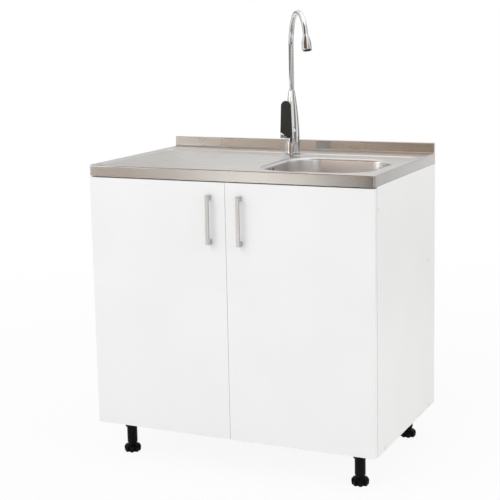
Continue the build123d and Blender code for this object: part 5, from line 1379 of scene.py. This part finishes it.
def studio():
    """Floor, light, reflection cards and camera."""
    floor()
    world()
    area_light("key_light", (-1.6, -3.4, 3.0), (0, 0, 0.5), 3.4, look().key_power)
    area_light("fill_light", (3.2, -0.6, 1.8), (0.4, 0, 0.5), 2.0, look().fill_power)
    cards()
    bpy.context.scene.view_settings.view_transform = "Standard"
    camera()


# ------------------------------------------------------------------ operators and panel
class SINKUNIT_OT_finishes(bpy.types.Operator):
    """Makes the finishes of every piece"""
    bl_idname = "sinkunit.finishes"
    bl_label = "Finishes"

    def execute(self, context):
        make_finishes()
        return {"FINISHED"}


class SINKUNIT_OT_recipes(bpy.types.Operator):
    """Makes the geometry-node trees for screws, caps, notches, ribs and piercings"""
    bl_idname = "sinkunit.recipes"
    bl_label = "Recipes"

    def execute(self, context):
        screw_recipe()
        cap_recipe()
        bar_recipe("notches", 20, cuts=True)
        bar_recipe("ribs", 14, cuts=False)
        pierced_recipe()
        return {"FINISHED"}


class SINKUNIT_OT_boards(bpy.types.Operator):
    """Makes the cabinet's panels and rails"""
    bl_idname = "sinkunit.boards"
    bl_label = "Boards"

    def execute(self, context):
        boards()
        return {"FINISHED"}


class SINKUNIT_OT_doors(bpy.types.Operator):
    """Makes the two doors and their bow handles"""
    bl_idname = "sinkunit.doors"
    bl_label = "Doors and handles"

    def execute(self, context):
        doors()
        handles()
        return {"FINISHED"}


class SINKUNIT_OT_hinges(bpy.types.Operator):
    """Makes the concealed hinges and the door pads"""
    bl_idname = "sinkunit.hinges"
    bl_label = "Hinges"

    def execute(self, context):
        hinges()
        return {"FINISHED"}


class SINKUNIT_OT_screws(bpy.types.Operator):
    """Makes the screws and their caps"""
    bl_idname = "sinkunit.screws"
    bl_label = "Screws and caps"

    def execute(self, context):
        screws()
        caps()
        return {"FINISHED"}


class SINKUNIT_OT_legs(bpy.types.Operator):
    """Makes the leg sockets, tubes and screw feet"""
    bl_idname = "sinkunit.legs"
    bl_label = "Legs"

    def execute(self, context):
        legs()
        return {"FINISHED"}


class SINKUNIT_OT_sink_top(bpy.types.Operator):
    """Makes the pressed steel top with its drainer and bowl"""
    bl_idname = "sinkunit.sink_top"
    bl_label = "Sink top"

    def execute(self, context):
        sink_top()
        return {"FINISHED"}


class SINKUNIT_OT_drain(bpy.types.Operator):
    """Makes the waste, its strainer basket and the trap"""
    bl_idname = "sinkunit.drain"
    bl_label = "Waste and trap"

    def execute(self, context):
        waste_ring()
        basket()
        trap()
        return {"FINISHED"}


class SINKUNIT_OT_tap(bpy.types.Operator):
    """Makes the mixer tap with its lever and swan neck"""
    bl_idname = "sinkunit.tap"
    bl_label = "Tap"

    def execute(self, context):
        tap_body()
        tap_rings()
        spout()
        nozzle()
        aerator()
        lever()
        lever_insert()
        return {"FINISHED"}


class SINKUNIT_OT_carried_over(bpy.types.Operator):
    """Gives the solids that keep their own shape their finishes"""
    bl_idname = "sinkunit.carried_over"
    bl_label = "Hidden pieces"

    def execute(self, context):
        carried_over()
        return {"FINISHED"}


class SINKUNIT_OT_stage(bpy.types.Operator):
    """Makes the floor, the light and the camera"""
    bl_idname = "sinkunit.stage"
    bl_label = "Stage"

    def execute(self, context):
        studio()
        return {"FINISHED"}


STEPS = (SINKUNIT_OT_finishes, SINKUNIT_OT_recipes, SINKUNIT_OT_boards, SINKUNIT_OT_doors,
         SINKUNIT_OT_hinges, SINKUNIT_OT_screws, SINKUNIT_OT_legs, SINKUNIT_OT_sink_top,
         SINKUNIT_OT_drain, SINKUNIT_OT_tap, SINKUNIT_OT_carried_over, SINKUNIT_OT_stage)


class SINKUNIT_PT_panel(bpy.types.Panel):
    """Sizes, colours and steps of the sink unit"""
    bl_idname = "SINKUNIT_PT_panel"
    bl_label = "Sink unit"
    bl_space_type = "VIEW_3D"
    bl_region_type = "UI"
    bl_category = "Sink unit"

    def draw(self, context):
        for key in SinkUnitLook.__annotations__:
            self.layout.prop(context.scene.sink_unit, key)
        for step in STEPS:
            self.layout.operator(step.bl_idname)


CLASSES = (SinkUnitLook, *STEPS, SINKUNIT_PT_panel)


def register():
    """Registers the classes and the scene's sizes."""
    for cls in CLASSES:
        bpy.utils.register_class(cls)
    bpy.types.Scene.sink_unit = PointerProperty(type=SinkUnitLook)


def unregister():
    """Takes the classes and the scene's sizes away again."""
    del bpy.types.Scene.sink_unit
    for cls in reversed(CLASSES):
        bpy.utils.unregister_class(cls)


def main():
    """Builds the whole unit."""
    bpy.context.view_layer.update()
    register()
    bpy.ops.sinkunit.finishes()
    bpy.ops.sinkunit.recipes()
    bpy.ops.sinkunit.boards()
    bpy.ops.sinkunit.doors()
    bpy.ops.sinkunit.hinges()
    bpy.ops.sinkunit.screws()
    bpy.ops.sinkunit.legs()
    bpy.ops.sinkunit.sink_top()
    bpy.ops.sinkunit.drain()
    bpy.ops.sinkunit.tap()
    bpy.ops.sinkunit.carried_over()
    bpy.ops.sinkunit.stage()


if __name__ == "__main__":
    main()
